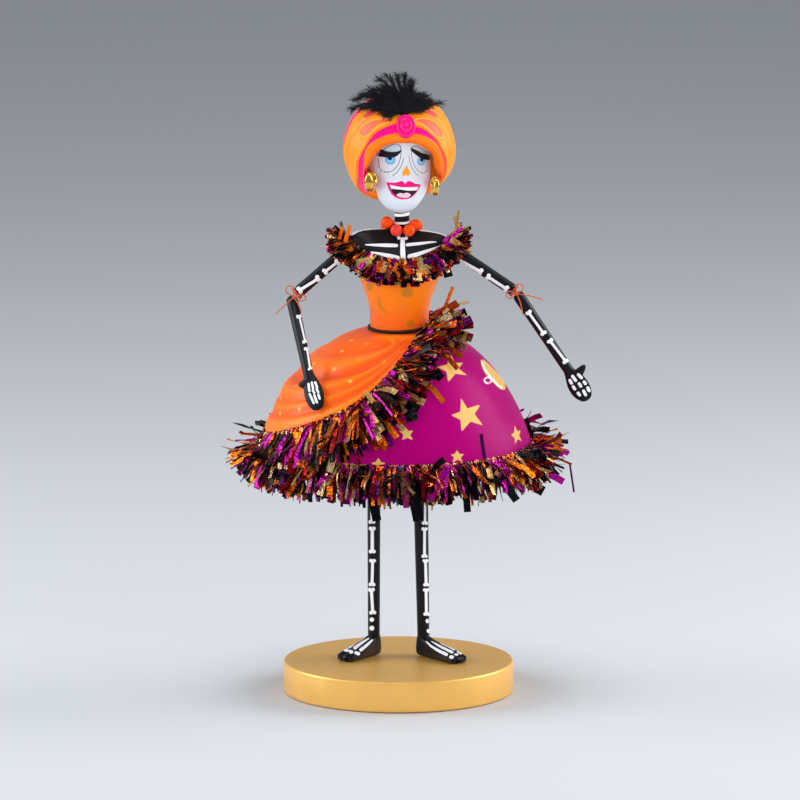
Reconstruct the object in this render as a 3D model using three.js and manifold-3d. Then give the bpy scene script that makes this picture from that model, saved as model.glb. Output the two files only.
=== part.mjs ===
// Skeleton fortune teller doll in a foil trimmed dress, standing on a round gold base.
// Millimetres, +Z up. The origin is the centre of the underside of the base. The figure faces -Y,
// so its own right hand is on the -X side.

import * as THREE from 'three';
import { mergeVertices } from 'three/addons/utils/BufferGeometryUtils.js';
import Module from 'manifold-3d';

const wasm = await Module();
wasm.setup();

const FULL_TURN = Math.PI * 2;
const { clamp, degToRad, lerp, radToDeg, smoothstep } = THREE.MathUtils;

// Clearance kept between pieces that touch
const GAP = 0.35;

// Round base
const BASE_RADIUS = 80.5;
const BASE_HEIGHT = 22;
const BASE_EDGE_RADIUS = 1.6;

// The upright axis of the body, a little behind the middle of the base
const BODY_X = 0.6;
const BODY_Y = 8;

// Legs: hips and ankles as [x, y, z] on the leg axis, feet as degrees turned out and length
const HIP_Z = 246;
const LEG_ANKLE_RADIUS = 4.15;
const RIGHT_LEG = {
  hip: [-17.2, BODY_Y, HIP_Z],
  hipRadius: 5.1,
  ankle: [-17.3, 15, 30],
  splay: -41,
  length: 38,
};
const LEFT_LEG = {
  hip: [13.6, BODY_Y, HIP_Z],
  hipRadius: 6.2,
  ankle: [17.6, 12, 30],
  splay: 43,
  length: 44,
};
const FOOT_HEEL_HALF_WIDTH = 4.6;
const FOOT_BALL_HALF_WIDTH = 7.6;
const FOOT_HEEL_HEIGHT = 11;
const FOOT_TOE_HEIGHT = 4.6;
const TOE_SCALLOP = 1.8;

// Skirt: a dome of superellipse profile, hollow and open below
const HEM_Z = 177;
const HEM_RADIUS = 94.5;
const DOME_HEIGHT = 80.5;
const DOME_TOP_POWER = 1.2;
const DOME_SIDE_POWER = 2.6;
const SKIRT_WALL = 4;
const CROWN_RADIUS = 19.2;
const CROWN_Z = 257.65;

// Overskirt: lies proud of the dome above an edge that slants from the left hip to the hem at the
// figure's right. Stations: degrees round from the right side, height of the edge.
const OVERSKIRT_LIFT = 2.4;
const OVERSKIRT_EDGE = [
  [0, 185], [26, 191], [56, 204], [80, 224], [95, 241.5], [110, 251], [126, 254.3], [180, 255],
];
const FOLD_COUNT = 5;
const FOLD_DEPTH = 1.1;
// Tilt over which the folds die away where the overskirt narrows to nothing at the left hip
const FOLD_FADE = 0.9;

// Torso and neck: height, half width, half depth, sideways shift of the middle
const TORSO_SECTIONS = [
  [258.05, 18.2, 18.2, 0],
  [263.6, 18.4, 18.4, 0],
  [264.2, 20.9, 20.4, 0],
  [277, 21.4, 20.5, 0],
  [287.6, 24.7, 21.4, 0],
  [298, 29.8, 22, 0],
  [305.5, 33.3, 21.2, 0],
  [312.5, 35, 18.4, 0],
  [318, 35, 13.4, 0],
  [323, 32.5, 7.6, 0.3],
  [325.6, 22.5, 5, 0.8],
  [327.3, 11, 4.6, 1.2],
  [329, 5.2, 5.2, 1.8],
  [347, 5.2, 5.2, 1.8],
];

const SHOULDER_Z = 320;

// Waist cord
const CORD_RING_RADIUS = 20.1;
const CORD_RADIUS = 1.3;
const CORD_Z = 261;

// Arms: shoulder, elbow, wrist and finger tips as [x, y, z], and how far the thumb reaches sideways
const ARM_RADIUS = 4.2;
const WRIST_RADIUS = 3.7;
const RIGHT_ARM = {
  shoulder: [-31, 6, 317.5],
  elbow: [-72.4, 5, 281],
  wrist: [-63.2, -38, 234.5],
  tip: [-57, -57, 211.5],
  thumb: -7.8,
};
const LEFT_ARM = {
  shoulder: [32, 6, 317.5],
  elbow: [82.2, 2, 283.7],
  wrist: [117.9, 0, 230],
  tip: [132.5, -3, 207.6],
  thumb: 10.5,
};
// Mitten hands: share of the length, half width, half thickness
const HAND_SECTIONS = [
  [0.02, 3.6, 3.4], [0.2, 4.3, 3.1], [0.42, 6.6, 2.8], [0.66, 7.4, 2.7], [0.86, 5.9, 2.4], [0.96, 3.2, 1.7],
];
const THUMB_RADIUS = 1.9;
// Where the thumb leaves the palm and where it ends, as shares of the hand's length
const THUMB_ROOT = 0.24;
const THUMB_END = 0.34;

// Elbow bows of thread
const THREAD_RADIUS = 0.5;
const BOW_LOOP_RADIUS = 3;
const BOW_KNOT_RADIUS = 1.4;
const RIGHT_BOW = { knot: [-73.2, -4.2, 281.9], loops: [120, -15], tails: [[-13.3, -3, -13], [5.6, -16.5, -9]] };
const LEFT_BOW = { knot: [82.8, -4.6, 282.8], loops: [65, 190], tails: [[18.6, 0, -5.8], [4.2, -2, -16]] };

// Head: one frame for the turban, with the face turned a little further in it
const HEAD_CENTRE = [0.7, 4, 388];
const HEAD_TURN = degToRad(6);
const HEAD_LEAN = degToRad(2.5);
const FACE_TURN = degToRad(6);
// Face: height, half width, middle depth, half depth
const FACE_SECTIONS = [
  [-46.4, 4, -12, 4],
  [-45.3, 6.9, -11.5, 7],
  [-43, 10.2, -11, 9.5],
  [-37.4, 14.6, -9, 14.2],
  [-31.5, 18.4, -7, 17.2],
  [-26, 20.8, -4.6, 20],
  [-17, 22.3, -2.5, 22],
  [-4, 22.4, -1.6, 22.9],
  [8, 21.6, -1.5, 22.5],
  [20, 17, -1, 17.5],
  [28, 9, 0, 9],
];
const FACE_TOP = 31;
const FACE_CHIN = -46.8;

// Turban: a ball whose wrap opens round the face over a second layer and a padded brim roll.
// Stations: degrees round from the top of the face, degrees away from straight ahead.
const TURBAN_RADIUS = 39.5;
const TURBAN_LAYER = 1.3;
const WRAP_EDGE = [
  [0, 35], [45, 37], [80, 44], [95, 49], [107, 58], [120, 66], [135, 78], [155, 98], [180, 110],
];
const BRIM_EDGE = [
  [0, 26], [30, 28], [55, 33], [75, 39], [90, 46],
  [105, 52], [120, 59], [135, 70], [155, 90], [180, 103],
];
const BRIM_ROLL_RADIUS = 4.3;
const BRIM_ROLL_CENTRE = 35.4;
const JEWEL_TILT = degToRad(30);
const JEWEL_SIZE = [6.8, 8.4, 3];

// Earrings: chunky open hoops
const HOOP_RADIUS = 4.9;
const HOOP_TUBE = 2.4;
const HOOP_THICKNESS = 2.1;
const RIGHT_EARRING = { centre: [-21.2, -26.6, -22.4], turn: 45 };
const LEFT_EARRING = { centre: [21.4, -29.4, -23.2], turn: -62 };

// Necklace of large beads, drooping in front over the slope of the chest
const BEAD_COUNT = 8;
const BEAD_RADIUS = 4.2;
const BEAD_RING_RADIUS = 11.45;
const BEAD_RING_CENTRE = [2.3, BODY_Y, 331.8];
const BEAD_DROOP = 4.2;

// Feather plume: root behind the jewel and the tips of its blades
const PLUME_ROOT = [4, -26, 415.5];
const PLUME_TIPS = [
  [-33, -18, 416.5], [-24, -14, 430], [-14.5, -12, 438.5], [-2, -10, 440.5],
  [8, -14, 439], [19, -16, 428], [28.5, -17, 419.5],
];
const PLUME_ARCH = 11;
const PLUME_HALF_WIDTH = 4.2;
const PLUME_HALF_THICKNESS = 1.6;

// Foil fringes as solids with notched edges. Sections are [radius, height] round the body axis.
const HEM_FRINGE_COLUMNS = 44;
const HEM_FRINGE_SECTION = [
  [95.3, 176.4], [95.3, 180], [106, 179.5], [121.5, 164], [116, 152], [103, 144.5], [92, 148], [90, 176.4],
];
const HEM_FRINGE_NOTCH = 5;
const NECK_FRINGE_COLUMNS = 32;
const NECK_FRINGE_NOTCH = 2.6;
// Band along the edge of the overskirt. Stations are [degrees from the right side, size], and the
// rise of the strips' ends into a bunch is at the left hip in front only.
const DRAPE_FRINGE_STATIONS = 36;
const DRAPE_FRINGE_END = 126;
const DRAPE_FRINGE_LENGTH = [[0, 2.2], [26, 7], [56, 26], [80, 36], [95, 38], [110, 36], [126, 29]];
const DRAPE_FRINGE_THICKNESS = [[0, 2.5], [40, 6], [126, 8]];
const DRAPE_FRINGE_RISE = [[90, 0], [126, 30]];
const DRAPE_FRINGE_NOTCH = 0.82;

// Value at x on the straight lines through [x, value] stations.
function along(stations, x) {
  const last = stations.length - 1;
  for (let i = 1; i <= last; i += 1) {
    if (x <= stations[i][0] || i === last) {
      const before = stations[i - 1];
      const after = stations[i];
      const share = clamp((x - before[0]) / (after[0] - before[0]), 0, 1);
      return lerp(before[1], after[1], share);
    }
  }
  return stations[0][1];
}

function point(x, y, z) {
  return new THREE.Vector3(x, y, z);
}

// Merges shared vertices, drops flat triangles and turns the faces outward.
function weld(geometry) {
  geometry.deleteAttribute('normal');
  geometry.deleteAttribute('uv');
  const merged = mergeVertices(geometry, 1e-4);
  const position = merged.getAttribute('position');
  const corners = [point(0, 0, 0), point(0, 0, 0), point(0, 0, 0)];
  const kept = [];
  let volume = 0;
  for (let i = 0; i < merged.index.count; i += 3) {
    const ids = [merged.index.getX(i), merged.index.getX(i + 1), merged.index.getX(i + 2)];
    if (new Set(ids).size === 3) {
      corners.forEach((corner, k) => corner.fromBufferAttribute(position, ids[k]));
      volume += corners[0].dot(corners[1].clone().cross(corners[2]));
      kept.push(...ids);
    }
  }
  if (volume < 0) {
    kept.reverse();
  }
  merged.setIndex(kept);
  return merged;
}

// A skin of rings: place(column, row) gives each point. Rows whose points coincide close the skin.
function skin(columns, rows, place) {
  const profile = Array.from({ length: rows }, (_, row) => new THREE.Vector2(1, row));
  const geometry = new THREE.LatheGeometry(profile, columns);
  const position = geometry.getAttribute('position');
  for (let column = 0; column <= columns; column += 1) {
    for (let row = 0; row < rows; row += 1) {
      const spot = place(column % columns, row);
      position.setXYZ(column * rows + row, spot.x, spot.y, spot.z);
    }
  }
  return weld(geometry);
}

function toSolid(geometry) {
  const source = geometry.index ? geometry : weld(geometry);
  return new wasm.Manifold(new wasm.Mesh({
    numProp: 3,
    vertProperties: new Float32Array(source.getAttribute('position').array),
    triVerts: new Uint32Array(source.index.array),
  }));
}

function toGeometry(solid) {
  const mesh = solid.getMesh();
  const geometry = new THREE.BufferGeometry();
  geometry.setAttribute('position', new THREE.BufferAttribute(new Float32Array(mesh.vertProperties), 3));
  geometry.setIndex(new THREE.BufferAttribute(new Uint32Array(mesh.triVerts), 1));
  return geometry;
}

function join(geometries) {
  return toGeometry(geometries.map(toSolid).reduce((whole, piece) => whole.add(piece)));
}

function cut(geometry, tools) {
  return toGeometry(tools.map(toSolid).reduce((whole, tool) => whole.subtract(tool), toSolid(geometry)));
}

function makePiece(name, geometry, color, roughness, metalness) {
  geometry.computeVertexNormals();
  const mesh = new THREE.Mesh(geometry, new THREE.MeshStandardMaterial({ color, roughness, metalness }));
  mesh.name = name;
  return mesh;
}

function base() {
  const edge = BASE_EDGE_RADIUS;
  const profile = [new THREE.Vector2(0, 0)];
  for (const [height, start] of [[edge, -90], [BASE_HEIGHT - edge, 0]]) {
    for (const step of [0, 90]) {
      const angle = degToRad(start + step);
      const radius = BASE_RADIUS - edge + edge * Math.cos(angle);
      profile.push(new THREE.Vector2(radius, height + edge * Math.sin(angle)));
    }
  }
  profile.push(new THREE.Vector2(0, BASE_HEIGHT));
  return weld(new THREE.LatheGeometry(profile, 48).rotateX(Math.PI / 2));
}

// Round bar between two points with domed ends.
function bar(from, to, fromRadius, toRadius, sides) {
  const start = point(...from);
  const axis = point(...to).sub(start);
  const length = axis.length();
  const profile = [];
  for (const [centre, radius, first] of [[fromRadius, fromRadius, -90], [length - toRadius, toRadius, 0]]) {
    for (const step of [0, 45, 90]) {
      const angle = degToRad(first + step);
      const reach = radius * Math.abs(Math.cos(angle));
      profile.push(new THREE.Vector2(reach < 1e-6 ? 0 : reach, centre + radius * Math.sin(angle)));
    }
  }
  const turn = new THREE.Quaternion().setFromUnitVectors(point(0, 1, 0), axis.normalize());
  const geometry = new THREE.LatheGeometry(profile, sides);
  geometry.applyQuaternion(turn);
  geometry.translate(start.x, start.y, start.z);
  return weld(geometry);
}

// Foot with a flat sole: outline rings shrink towards the instep, and the front has three toes.
function foot({ ankle, splay, length }) {
  const columns = 18;
  const levels = [[0, 0], [0, 0.92], [0.35, 1], [0.8, 0.92], [1, 0.55], [1, 0]];
  const forward = point(Math.sin(degToRad(splay)), -Math.cos(degToRad(splay)), 0);
  const sideways = point(-forward.y, forward.x, 0);
  const middle = length / 2 - FOOT_HEEL_HALF_WIDTH - 1;
  const geometry = skin(columns, levels.length, (column, row) => {
    const [level, scale] = levels[row];
    const angle = (column / columns) * FULL_TURN;
    const across = Math.sign(Math.sin(angle)) * Math.abs(Math.sin(angle)) ** 0.8;
    const front = Math.max(0, Math.cos(angle));
    const lengthways = Math.sign(Math.cos(angle)) * Math.abs(Math.cos(angle)) ** 0.6;
    const halfWidth = lerp(FOOT_HEEL_HALF_WIDTH, FOOT_BALL_HALF_WIDTH, smoothstep(Math.cos(angle), -1, 0.6));
    const scallop = TOE_SCALLOP * Math.sqrt(front) * (Math.abs(Math.cos(1.5 * Math.PI * across)) - 1);
    const reach = middle + scale * ((length / 2) * lengthways + scallop);
    const height = lerp(FOOT_HEEL_HEIGHT, FOOT_TOE_HEIGHT, smoothstep(reach, -2, length * 0.72));
    const spot = forward.clone().multiplyScalar(reach).addScaledVector(sideways, scale * halfWidth * across);
    return spot.add(point(ankle[0], ankle[1], BASE_HEIGHT + GAP + level * height));
  });
  return geometry;
}

function leg(side) {
  const shin = bar(side.ankle, side.hip, LEG_ANKLE_RADIUS, side.hipRadius, 12);
  return join([shin, foot(side)]);
}

// Spot on the dome: turn round the body axis, tilt down from the top, lift off the surface.
function domePoint(turn, tilt, lift, shrink = 0) {
  const radiusAt = (t) => (HEM_RADIUS - shrink) * Math.max(0, Math.sin(t)) ** (2 / DOME_SIDE_POWER);
  const heightAt = (t) => (DOME_HEIGHT - shrink) * Math.max(0, Math.cos(t)) ** (2 / DOME_TOP_POWER);
  const step = 1e-3;
  const outward = new THREE.Vector2(
    heightAt(tilt - step) - heightAt(tilt),
    radiusAt(tilt) - radiusAt(tilt - step),
  ).normalize();
  const radius = radiusAt(tilt) + lift * outward.x;
  const height = HEM_Z + heightAt(tilt) + lift * outward.y;
  return point(BODY_X + radius * Math.cos(turn), BODY_Y + radius * Math.sin(turn), height);
}

function tiltAtHeight(height) {
  return Math.acos(((height - HEM_Z) / DOME_HEIGHT) ** (DOME_TOP_POWER / 2));
}

function tiltAtRadius(radius) {
  return Math.asin((radius / HEM_RADIUS) ** (DOME_SIDE_POWER / 2));
}

function skirt() {
  const columns = 44;
  const drapeRows = 14;
  const plainRows = 4;
  const insideRows = 3;
  const topTilt = tiltAtRadius(CROWN_RADIUS + 0.4);
  const rows = 2 + drapeRows + plainRows + 1 + insideRows + 1;
  return skin(columns, rows, (column, row) => {
    const turn = (column / columns) * FULL_TURN;
    const fromRight = Math.abs(180 - (column / columns) * 360);
    const edgeTilt = tiltAtHeight(along(OVERSKIRT_EDGE, fromRight));
    if (row === 0) {
      return point(BODY_X, BODY_Y, CROWN_Z);
    }
    if (row === 1) {
      return point(BODY_X + CROWN_RADIUS * Math.cos(turn), BODY_Y + CROWN_RADIUS * Math.sin(turn), CROWN_Z);
    }
    if (row < 2 + drapeRows) {
      const share = (row - 2) / (drapeRows - 1);
      const strength = Math.sin(Math.PI * share) ** 0.5 * smoothstep(edgeTilt - topTilt, 0, FOLD_FADE);
      const fold = FOLD_DEPTH * strength * Math.cos(FOLD_COUNT * FULL_TURN * share);
      return domePoint(turn, lerp(topTilt, edgeTilt, share), OVERSKIRT_LIFT + fold);
    }
    const plainRow = row - 2 - drapeRows;
    if (plainRow <= plainRows) {
      return domePoint(turn, lerp(edgeTilt, Math.PI / 2, plainRow / plainRows), 0);
    }
    const insideRow = plainRow - plainRows - 1;
    const insideTilt = (Math.PI / 2) * (1 - insideRow / insideRows);
    return domePoint(turn, insideTilt, 0, SKIRT_WALL);
  });
}

// Torso and neck in one piece, or the space they take with some clearance round them.
function torso(grow) {
  const columns = 20;
  const last = TORSO_SECTIONS.length - 1;
  return skin(columns, last + 3, (column, row) => {
    const [height, halfWidth, halfDepth, shift] = TORSO_SECTIONS[clamp(row - 1, 0, last)];
    const closed = row === 0 || row === last + 2;
    const angle = (column / columns) * FULL_TURN;
    const across = closed ? 0 : (halfWidth + grow) * Math.cos(angle);
    const deep = closed ? 0 : (halfDepth + grow) * Math.sin(angle);
    const lift = height > SHOULDER_Z ? grow : 0;
    return point(BODY_X + shift + across, BODY_Y + deep, height + lift);
  });
}

function waistCord() {
  const geometry = weld(new THREE.TorusGeometry(CORD_RING_RADIUS, CORD_RADIUS, 5, 20));
  geometry.translate(BODY_X, BODY_Y, CORD_Z);
  return geometry;
}

function headFrame() {
  const lean = new THREE.Quaternion().setFromAxisAngle(point(0, 1, 0), HEAD_LEAN);
  const turn = new THREE.Quaternion().setFromAxisAngle(point(0, 0, 1), HEAD_TURN);
  const frame = new THREE.Group();
  frame.position.set(...HEAD_CENTRE);
  frame.quaternion.copy(lean).multiply(turn);
  frame.updateMatrixWorld(true);
  return frame;
}

function face() {
  const columns = 22;
  const last = FACE_SECTIONS.length - 1;
  const geometry = skin(columns, last + 3, (column, row) => {
    if (row === 0 || row === last + 2) {
      return point(0, row === 0 ? -12 : 0, row === 0 ? FACE_CHIN : FACE_TOP);
    }
    const [height, halfWidth, middle, halfDepth] = FACE_SECTIONS[row - 1];
    const angle = (column / columns) * FULL_TURN;
    return point(halfWidth * Math.cos(angle), middle + halfDepth * Math.sin(angle), height);
  });
  return geometry.rotateZ(FACE_TURN);
}

// Spot in the turban frame: degrees round from the top, degrees away from straight ahead.
function ballPoint(round, away, radius) {
  const spread = radius * Math.sin(degToRad(away));
  const ahead = radius * Math.cos(degToRad(away));
  return point(spread * Math.sin(degToRad(round)), -ahead, spread * Math.cos(degToRad(round)));
}

function turban() {
  const columns = 30;
  const ballRows = 7;
  const rollSteps = 3;
  const rows = ballRows + 2 + rollSteps + 2;
  return skin(columns, rows, (column, row) => {
    const round = (column / columns) * 360;
    const fromTop = Math.min(round, 360 - round);
    const wrapEdge = along(WRAP_EDGE, fromTop);
    const brimEdge = Math.min(along(BRIM_EDGE, fromTop), wrapEdge - 1.5);
    if (row < ballRows) {
      return ballPoint(round, lerp(180, wrapEdge, row / (ballRows - 1)), TURBAN_RADIUS);
    }
    if (row < ballRows + 2) {
      return ballPoint(round, row === ballRows ? wrapEdge : brimEdge, TURBAN_RADIUS - TURBAN_LAYER);
    }
    const rollStep = row - ballRows - 2;
    if (rollStep <= rollSteps) {
      const sweep = degToRad(25 + (155 * rollStep) / rollSteps);
      const reach = BRIM_ROLL_CENTRE + BRIM_ROLL_RADIUS * Math.sin(sweep);
      const drift = (BRIM_ROLL_RADIUS / BRIM_ROLL_CENTRE) * (1 - Math.cos(sweep)) * (180 / Math.PI);
      return ballPoint(round, Math.max(brimEdge - drift, 2), reach);
    }
    return point(0, -8, -4);
  });
}

function jewel(grow) {
  const stone = new THREE.SphereGeometry(1, 12, 7);
  stone.scale(...JEWEL_SIZE.map((size) => size + grow));
  stone.rotateX(Math.PI / 2 - JEWEL_TILT);
  const centre = ballPoint(0, radToDeg(JEWEL_TILT), TURBAN_RADIUS - 0.6);
  stone.translate(centre.x, centre.y, centre.z);
  return weld(stone);
}

function head(frame) {
  const socket = bar([BODY_X + 1.8, BODY_Y, 325], [BODY_X + 1.8, BODY_Y, 353], 5.2 + GAP, 5.2 + GAP, 20);
  socket.applyMatrix4(frame.matrixWorld.clone().invert());
  return cut(join([turban(), face(), jewel(0)]), [socket]);
}

function earring({ turn }) {
  const arc = new THREE.EllipseCurve(0, 0, HOOP_RADIUS, HOOP_RADIUS + 0.4, degToRad(110), degToRad(425));
  const path = new THREE.CatmullRomCurve3(arc.getPoints(9).map((spot) => point(spot.x, 0, spot.y)));
  const section = new THREE.Shape();
  section.absellipse(0, 0, HOOP_TUBE, HOOP_THICKNESS, 0, FULL_TURN);
  const hoop = new THREE.ExtrudeGeometry(section, { steps: 9, curveSegments: 4, extrudePath: path });
  return weld(hoop.rotateZ(degToRad(turn)));
}

function bead() {
  return weld(new THREE.SphereGeometry(BEAD_RADIUS, 8, 5));
}

function beadCentre(index) {
  const angle = ((index + 0.5) / BEAD_COUNT) * FULL_TURN - Math.PI / 2;
  const droop = BEAD_DROOP * ((1 - Math.sin(angle)) / 2) ** 5;
  const spot = point(BEAD_RING_RADIUS * Math.cos(angle), BEAD_RING_RADIUS * Math.sin(angle), -droop);
  return spot.add(point(...BEAD_RING_CENTRE));
}

// One feather blade: a flat spindle along a path that arches away from the head.
function blade(tip) {
  const centre = point(...HEAD_CENTRE);
  const root = point(...PLUME_ROOT);
  const end = point(...tip);
  const crest = root.clone().lerp(end, 0.5).sub(centre).setLength(TURBAN_RADIUS + PLUME_ARCH).add(centre);
  const path = new THREE.QuadraticBezierCurve3(root, crest, end);
  const rows = 5;
  return skin(4, rows, (column, row) => {
    const share = row / (rows - 1);
    const spot = path.getPoint(share);
    const outward = spot.clone().sub(centre).normalize();
    const across = path.getTangent(share).cross(outward).normalize();
    const closed = row === 0 || row === rows - 1;
    const girth = closed ? 0 : Math.sin(Math.PI * share) ** 0.7;
    const angle = (column / 4) * FULL_TURN;
    spot.addScaledVector(across, PLUME_HALF_WIDTH * girth * Math.cos(angle));
    return spot.addScaledVector(outward, PLUME_HALF_THICKNESS * girth * Math.sin(angle));
  });
}

function plume(frame) {
  const ball = new THREE.SphereGeometry(TURBAN_RADIUS + GAP, 20, 14).translate(...HEAD_CENTRE);
  const stone = jewel(GAP).applyMatrix4(frame.matrixWorld);
  const root = new THREE.SphereGeometry(3.4, 6, 5).translate(...PLUME_ROOT);
  return cut(join([weld(root), ...PLUME_TIPS.map(blade)]), [weld(ball), stone]);
}

// How far each arm bar stops short of the elbow, so that the two domed ends just clear each other.
function elbowSetback({ shoulder, elbow, wrist }) {
  const upward = point(...shoulder).sub(point(...elbow));
  const bend = upward.angleTo(point(...wrist).sub(point(...elbow)));
  return (ARM_RADIUS + GAP / 2) / Math.sin(bend / 2) - ARM_RADIUS;
}

function upperArm(arm) {
  const end = point(...arm.elbow);
  end.addScaledVector(point(...arm.shoulder).sub(end).normalize(), elbowSetback(arm));
  return bar(arm.shoulder, end.toArray(), ARM_RADIUS, ARM_RADIUS, 12);
}

function hand({ wrist, tip, thumb }) {
  const columns = 10;
  const last = HAND_SECTIONS.length - 1;
  const start = point(...wrist);
  const reach = point(...tip).sub(start);
  const across = point(0, -1, -0.2).cross(reach).normalize();
  const through = reach.clone().cross(across).normalize();
  const palm = skin(columns, last + 3, (column, row) => {
    if (row === 0 || row === last + 2) {
      return row === 0 ? start.clone() : point(...tip);
    }
    const [share, halfWidth, halfThickness] = HAND_SECTIONS[row - 1];
    const angle = (column / columns) * FULL_TURN;
    const spot = start.clone().addScaledVector(reach, share);
    spot.addScaledVector(across, halfWidth * Math.cos(angle));
    return spot.addScaledVector(through, halfThickness * Math.sin(angle));
  });
  const root = start.clone().addScaledVector(reach, THUMB_ROOT);
  const end = start.clone().addScaledVector(reach, THUMB_END).addScaledVector(across, thumb);
  return join([palm, bar(root.toArray(), end.toArray(), THUMB_RADIUS, THUMB_RADIUS, 8)]);
}

function forearm(arm) {
  const start = point(...arm.elbow);
  const axis = point(...arm.wrist).sub(start).normalize();
  start.addScaledVector(axis, elbowSetback(arm));
  const end = point(...arm.wrist).addScaledVector(axis, WRIST_RADIUS);
  return join([bar(start.toArray(), end.toArray(), ARM_RADIUS, WRIST_RADIUS, 12), hand(arm)]);
}

// Bow of thread round its knot: loops at angles seen from the front, tails as [x, y, z] reaches.
function elbowBow({ loops, tails }) {
  const pieces = [weld(new THREE.SphereGeometry(BOW_KNOT_RADIUS, 6, 4))];
  for (const degrees of loops) {
    const loop = new THREE.TorusGeometry(BOW_LOOP_RADIUS, THREAD_RADIUS, 4, 8).rotateX(Math.PI / 2);
    const angle = degToRad(degrees);
    const reach = BOW_LOOP_RADIUS + BOW_KNOT_RADIUS / 2;
    pieces.push(weld(loop.translate(reach * Math.cos(angle), 0, reach * Math.sin(angle))));
  }
  for (const tail of tails) {
    pieces.push(bar([0, 0, 0], tail, THREAD_RADIUS, THREAD_RADIUS, 4));
  }
  return join(pieces);
}

// Ring of foil below the hem. Every second column is drawn in, which notches the outer edge.
function hemFringe() {
  const corners = HEM_FRINGE_SECTION.length;
  return skin(HEM_FRINGE_COLUMNS, corners + 1, (column, row) => {
    const turn = (column / HEM_FRINGE_COLUMNS) * FULL_TURN;
    const [radius, height] = HEM_FRINGE_SECTION[row % corners];
    const depth = column % 2 === 0 ? 0 : HEM_FRINGE_NOTCH;
    const reach = radius - depth * clamp((radius - 97) / 12, 0, 1);
    const rise = height < 150 ? depth : 0;
    return point(BODY_X + reach * Math.cos(turn), BODY_Y + reach * Math.sin(turn), height + rise);
  });
}

// Spot and directions on the edge of the overskirt: outward off the skirt, and the way its foil hangs.
function drapeEdge(degrees) {
  const edgeSpot = (angle, lift) => {
    const tilt = tiltAtHeight(along(OVERSKIRT_EDGE, Math.abs(angle)));
    return domePoint(Math.PI + degToRad(angle), tilt, lift);
  };
  const spot = edgeSpot(degrees, OVERSKIRT_LIFT);
  const outward = edgeSpot(degrees, OVERSKIRT_LIFT + 1).sub(spot);
  const strand = edgeSpot(degrees - 1, 0).sub(edgeSpot(degrees + 1, 0)).cross(outward).normalize();
  if (strand.z > 0) {
    strand.negate();
  }
  return { spot, outward, strand };
}

// Band of foil along the edge of the overskirt. Its ends close on single points.
function drapeFringe() {
  const corners = 7;
  return skin(corners, DRAPE_FRINGE_STATIONS, (corner, station) => {
    const degrees = lerp(DRAPE_FRINGE_END, -DRAPE_FRINGE_END, station / (DRAPE_FRINGE_STATIONS - 1));
    const { spot, outward, strand } = drapeEdge(degrees);
    const notch = station % 2 === 0 ? 1 : DRAPE_FRINGE_NOTCH;
    const length = notch * along(DRAPE_FRINGE_LENGTH, Math.abs(degrees));
    const thick = along(DRAPE_FRINGE_THICKNESS, Math.abs(degrees));
    const closed = station === 0 || station === DRAPE_FRINGE_STATIONS - 1;
    const section = [
      [-1.4, 0.8], [-1.4, thick * 0.6], [length * 0.45, thick], [length, thick * 0.7],
      [length, -0.6], [length * 0.6, -0.1], [length * 0.3, 0.5],
    ];
    const [reach, lift] = closed ? [length * 0.4, thick * 0.4] : section[corner];
    spot.z += along(DRAPE_FRINGE_RISE, degrees) * Math.max(0, reach / length);
    return spot.addScaledVector(strand, reach).addScaledVector(outward, lift);
  });
}

// Collar of foil round the shoulders: wider at the arms, hanging lower in front and behind.
function necklineFringe(tools) {
  const corners = 6;
  const ring = skin(NECK_FRINGE_COLUMNS, corners + 1, (column, row) => {
    const angle = (column / NECK_FRINGE_COLUMNS) * FULL_TURN;
    const side = Math.cos(angle) ** 2;
    const out = lerp(8, 17.5, side);
    const down = lerp(16, 9, side);
    const edgeZ = lerp(Math.sin(angle) < 0 ? 309.5 : 314, 321.5, side);
    const notch = column % 2 === 0 ? 0 : NECK_FRINGE_NOTCH;
    const section = [
      [0.8, 0], [2.5, 4], [out * 0.6, 5], [out - notch, lerp(-5, 3, side)],
      [out - 3, notch - down - 1.5], [lerp(2.6, 4, side), notch - down - 1],
    ];
    const [reach, rise] = section[row % corners];
    const across = 35 + reach;
    const deep = lerp(22.4, 20, side) + reach;
    return point(BODY_X + across * Math.cos(angle), BODY_Y + deep * Math.sin(angle), edgeZ + rise);
  });
  return cut(ring, tools);
}

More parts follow.
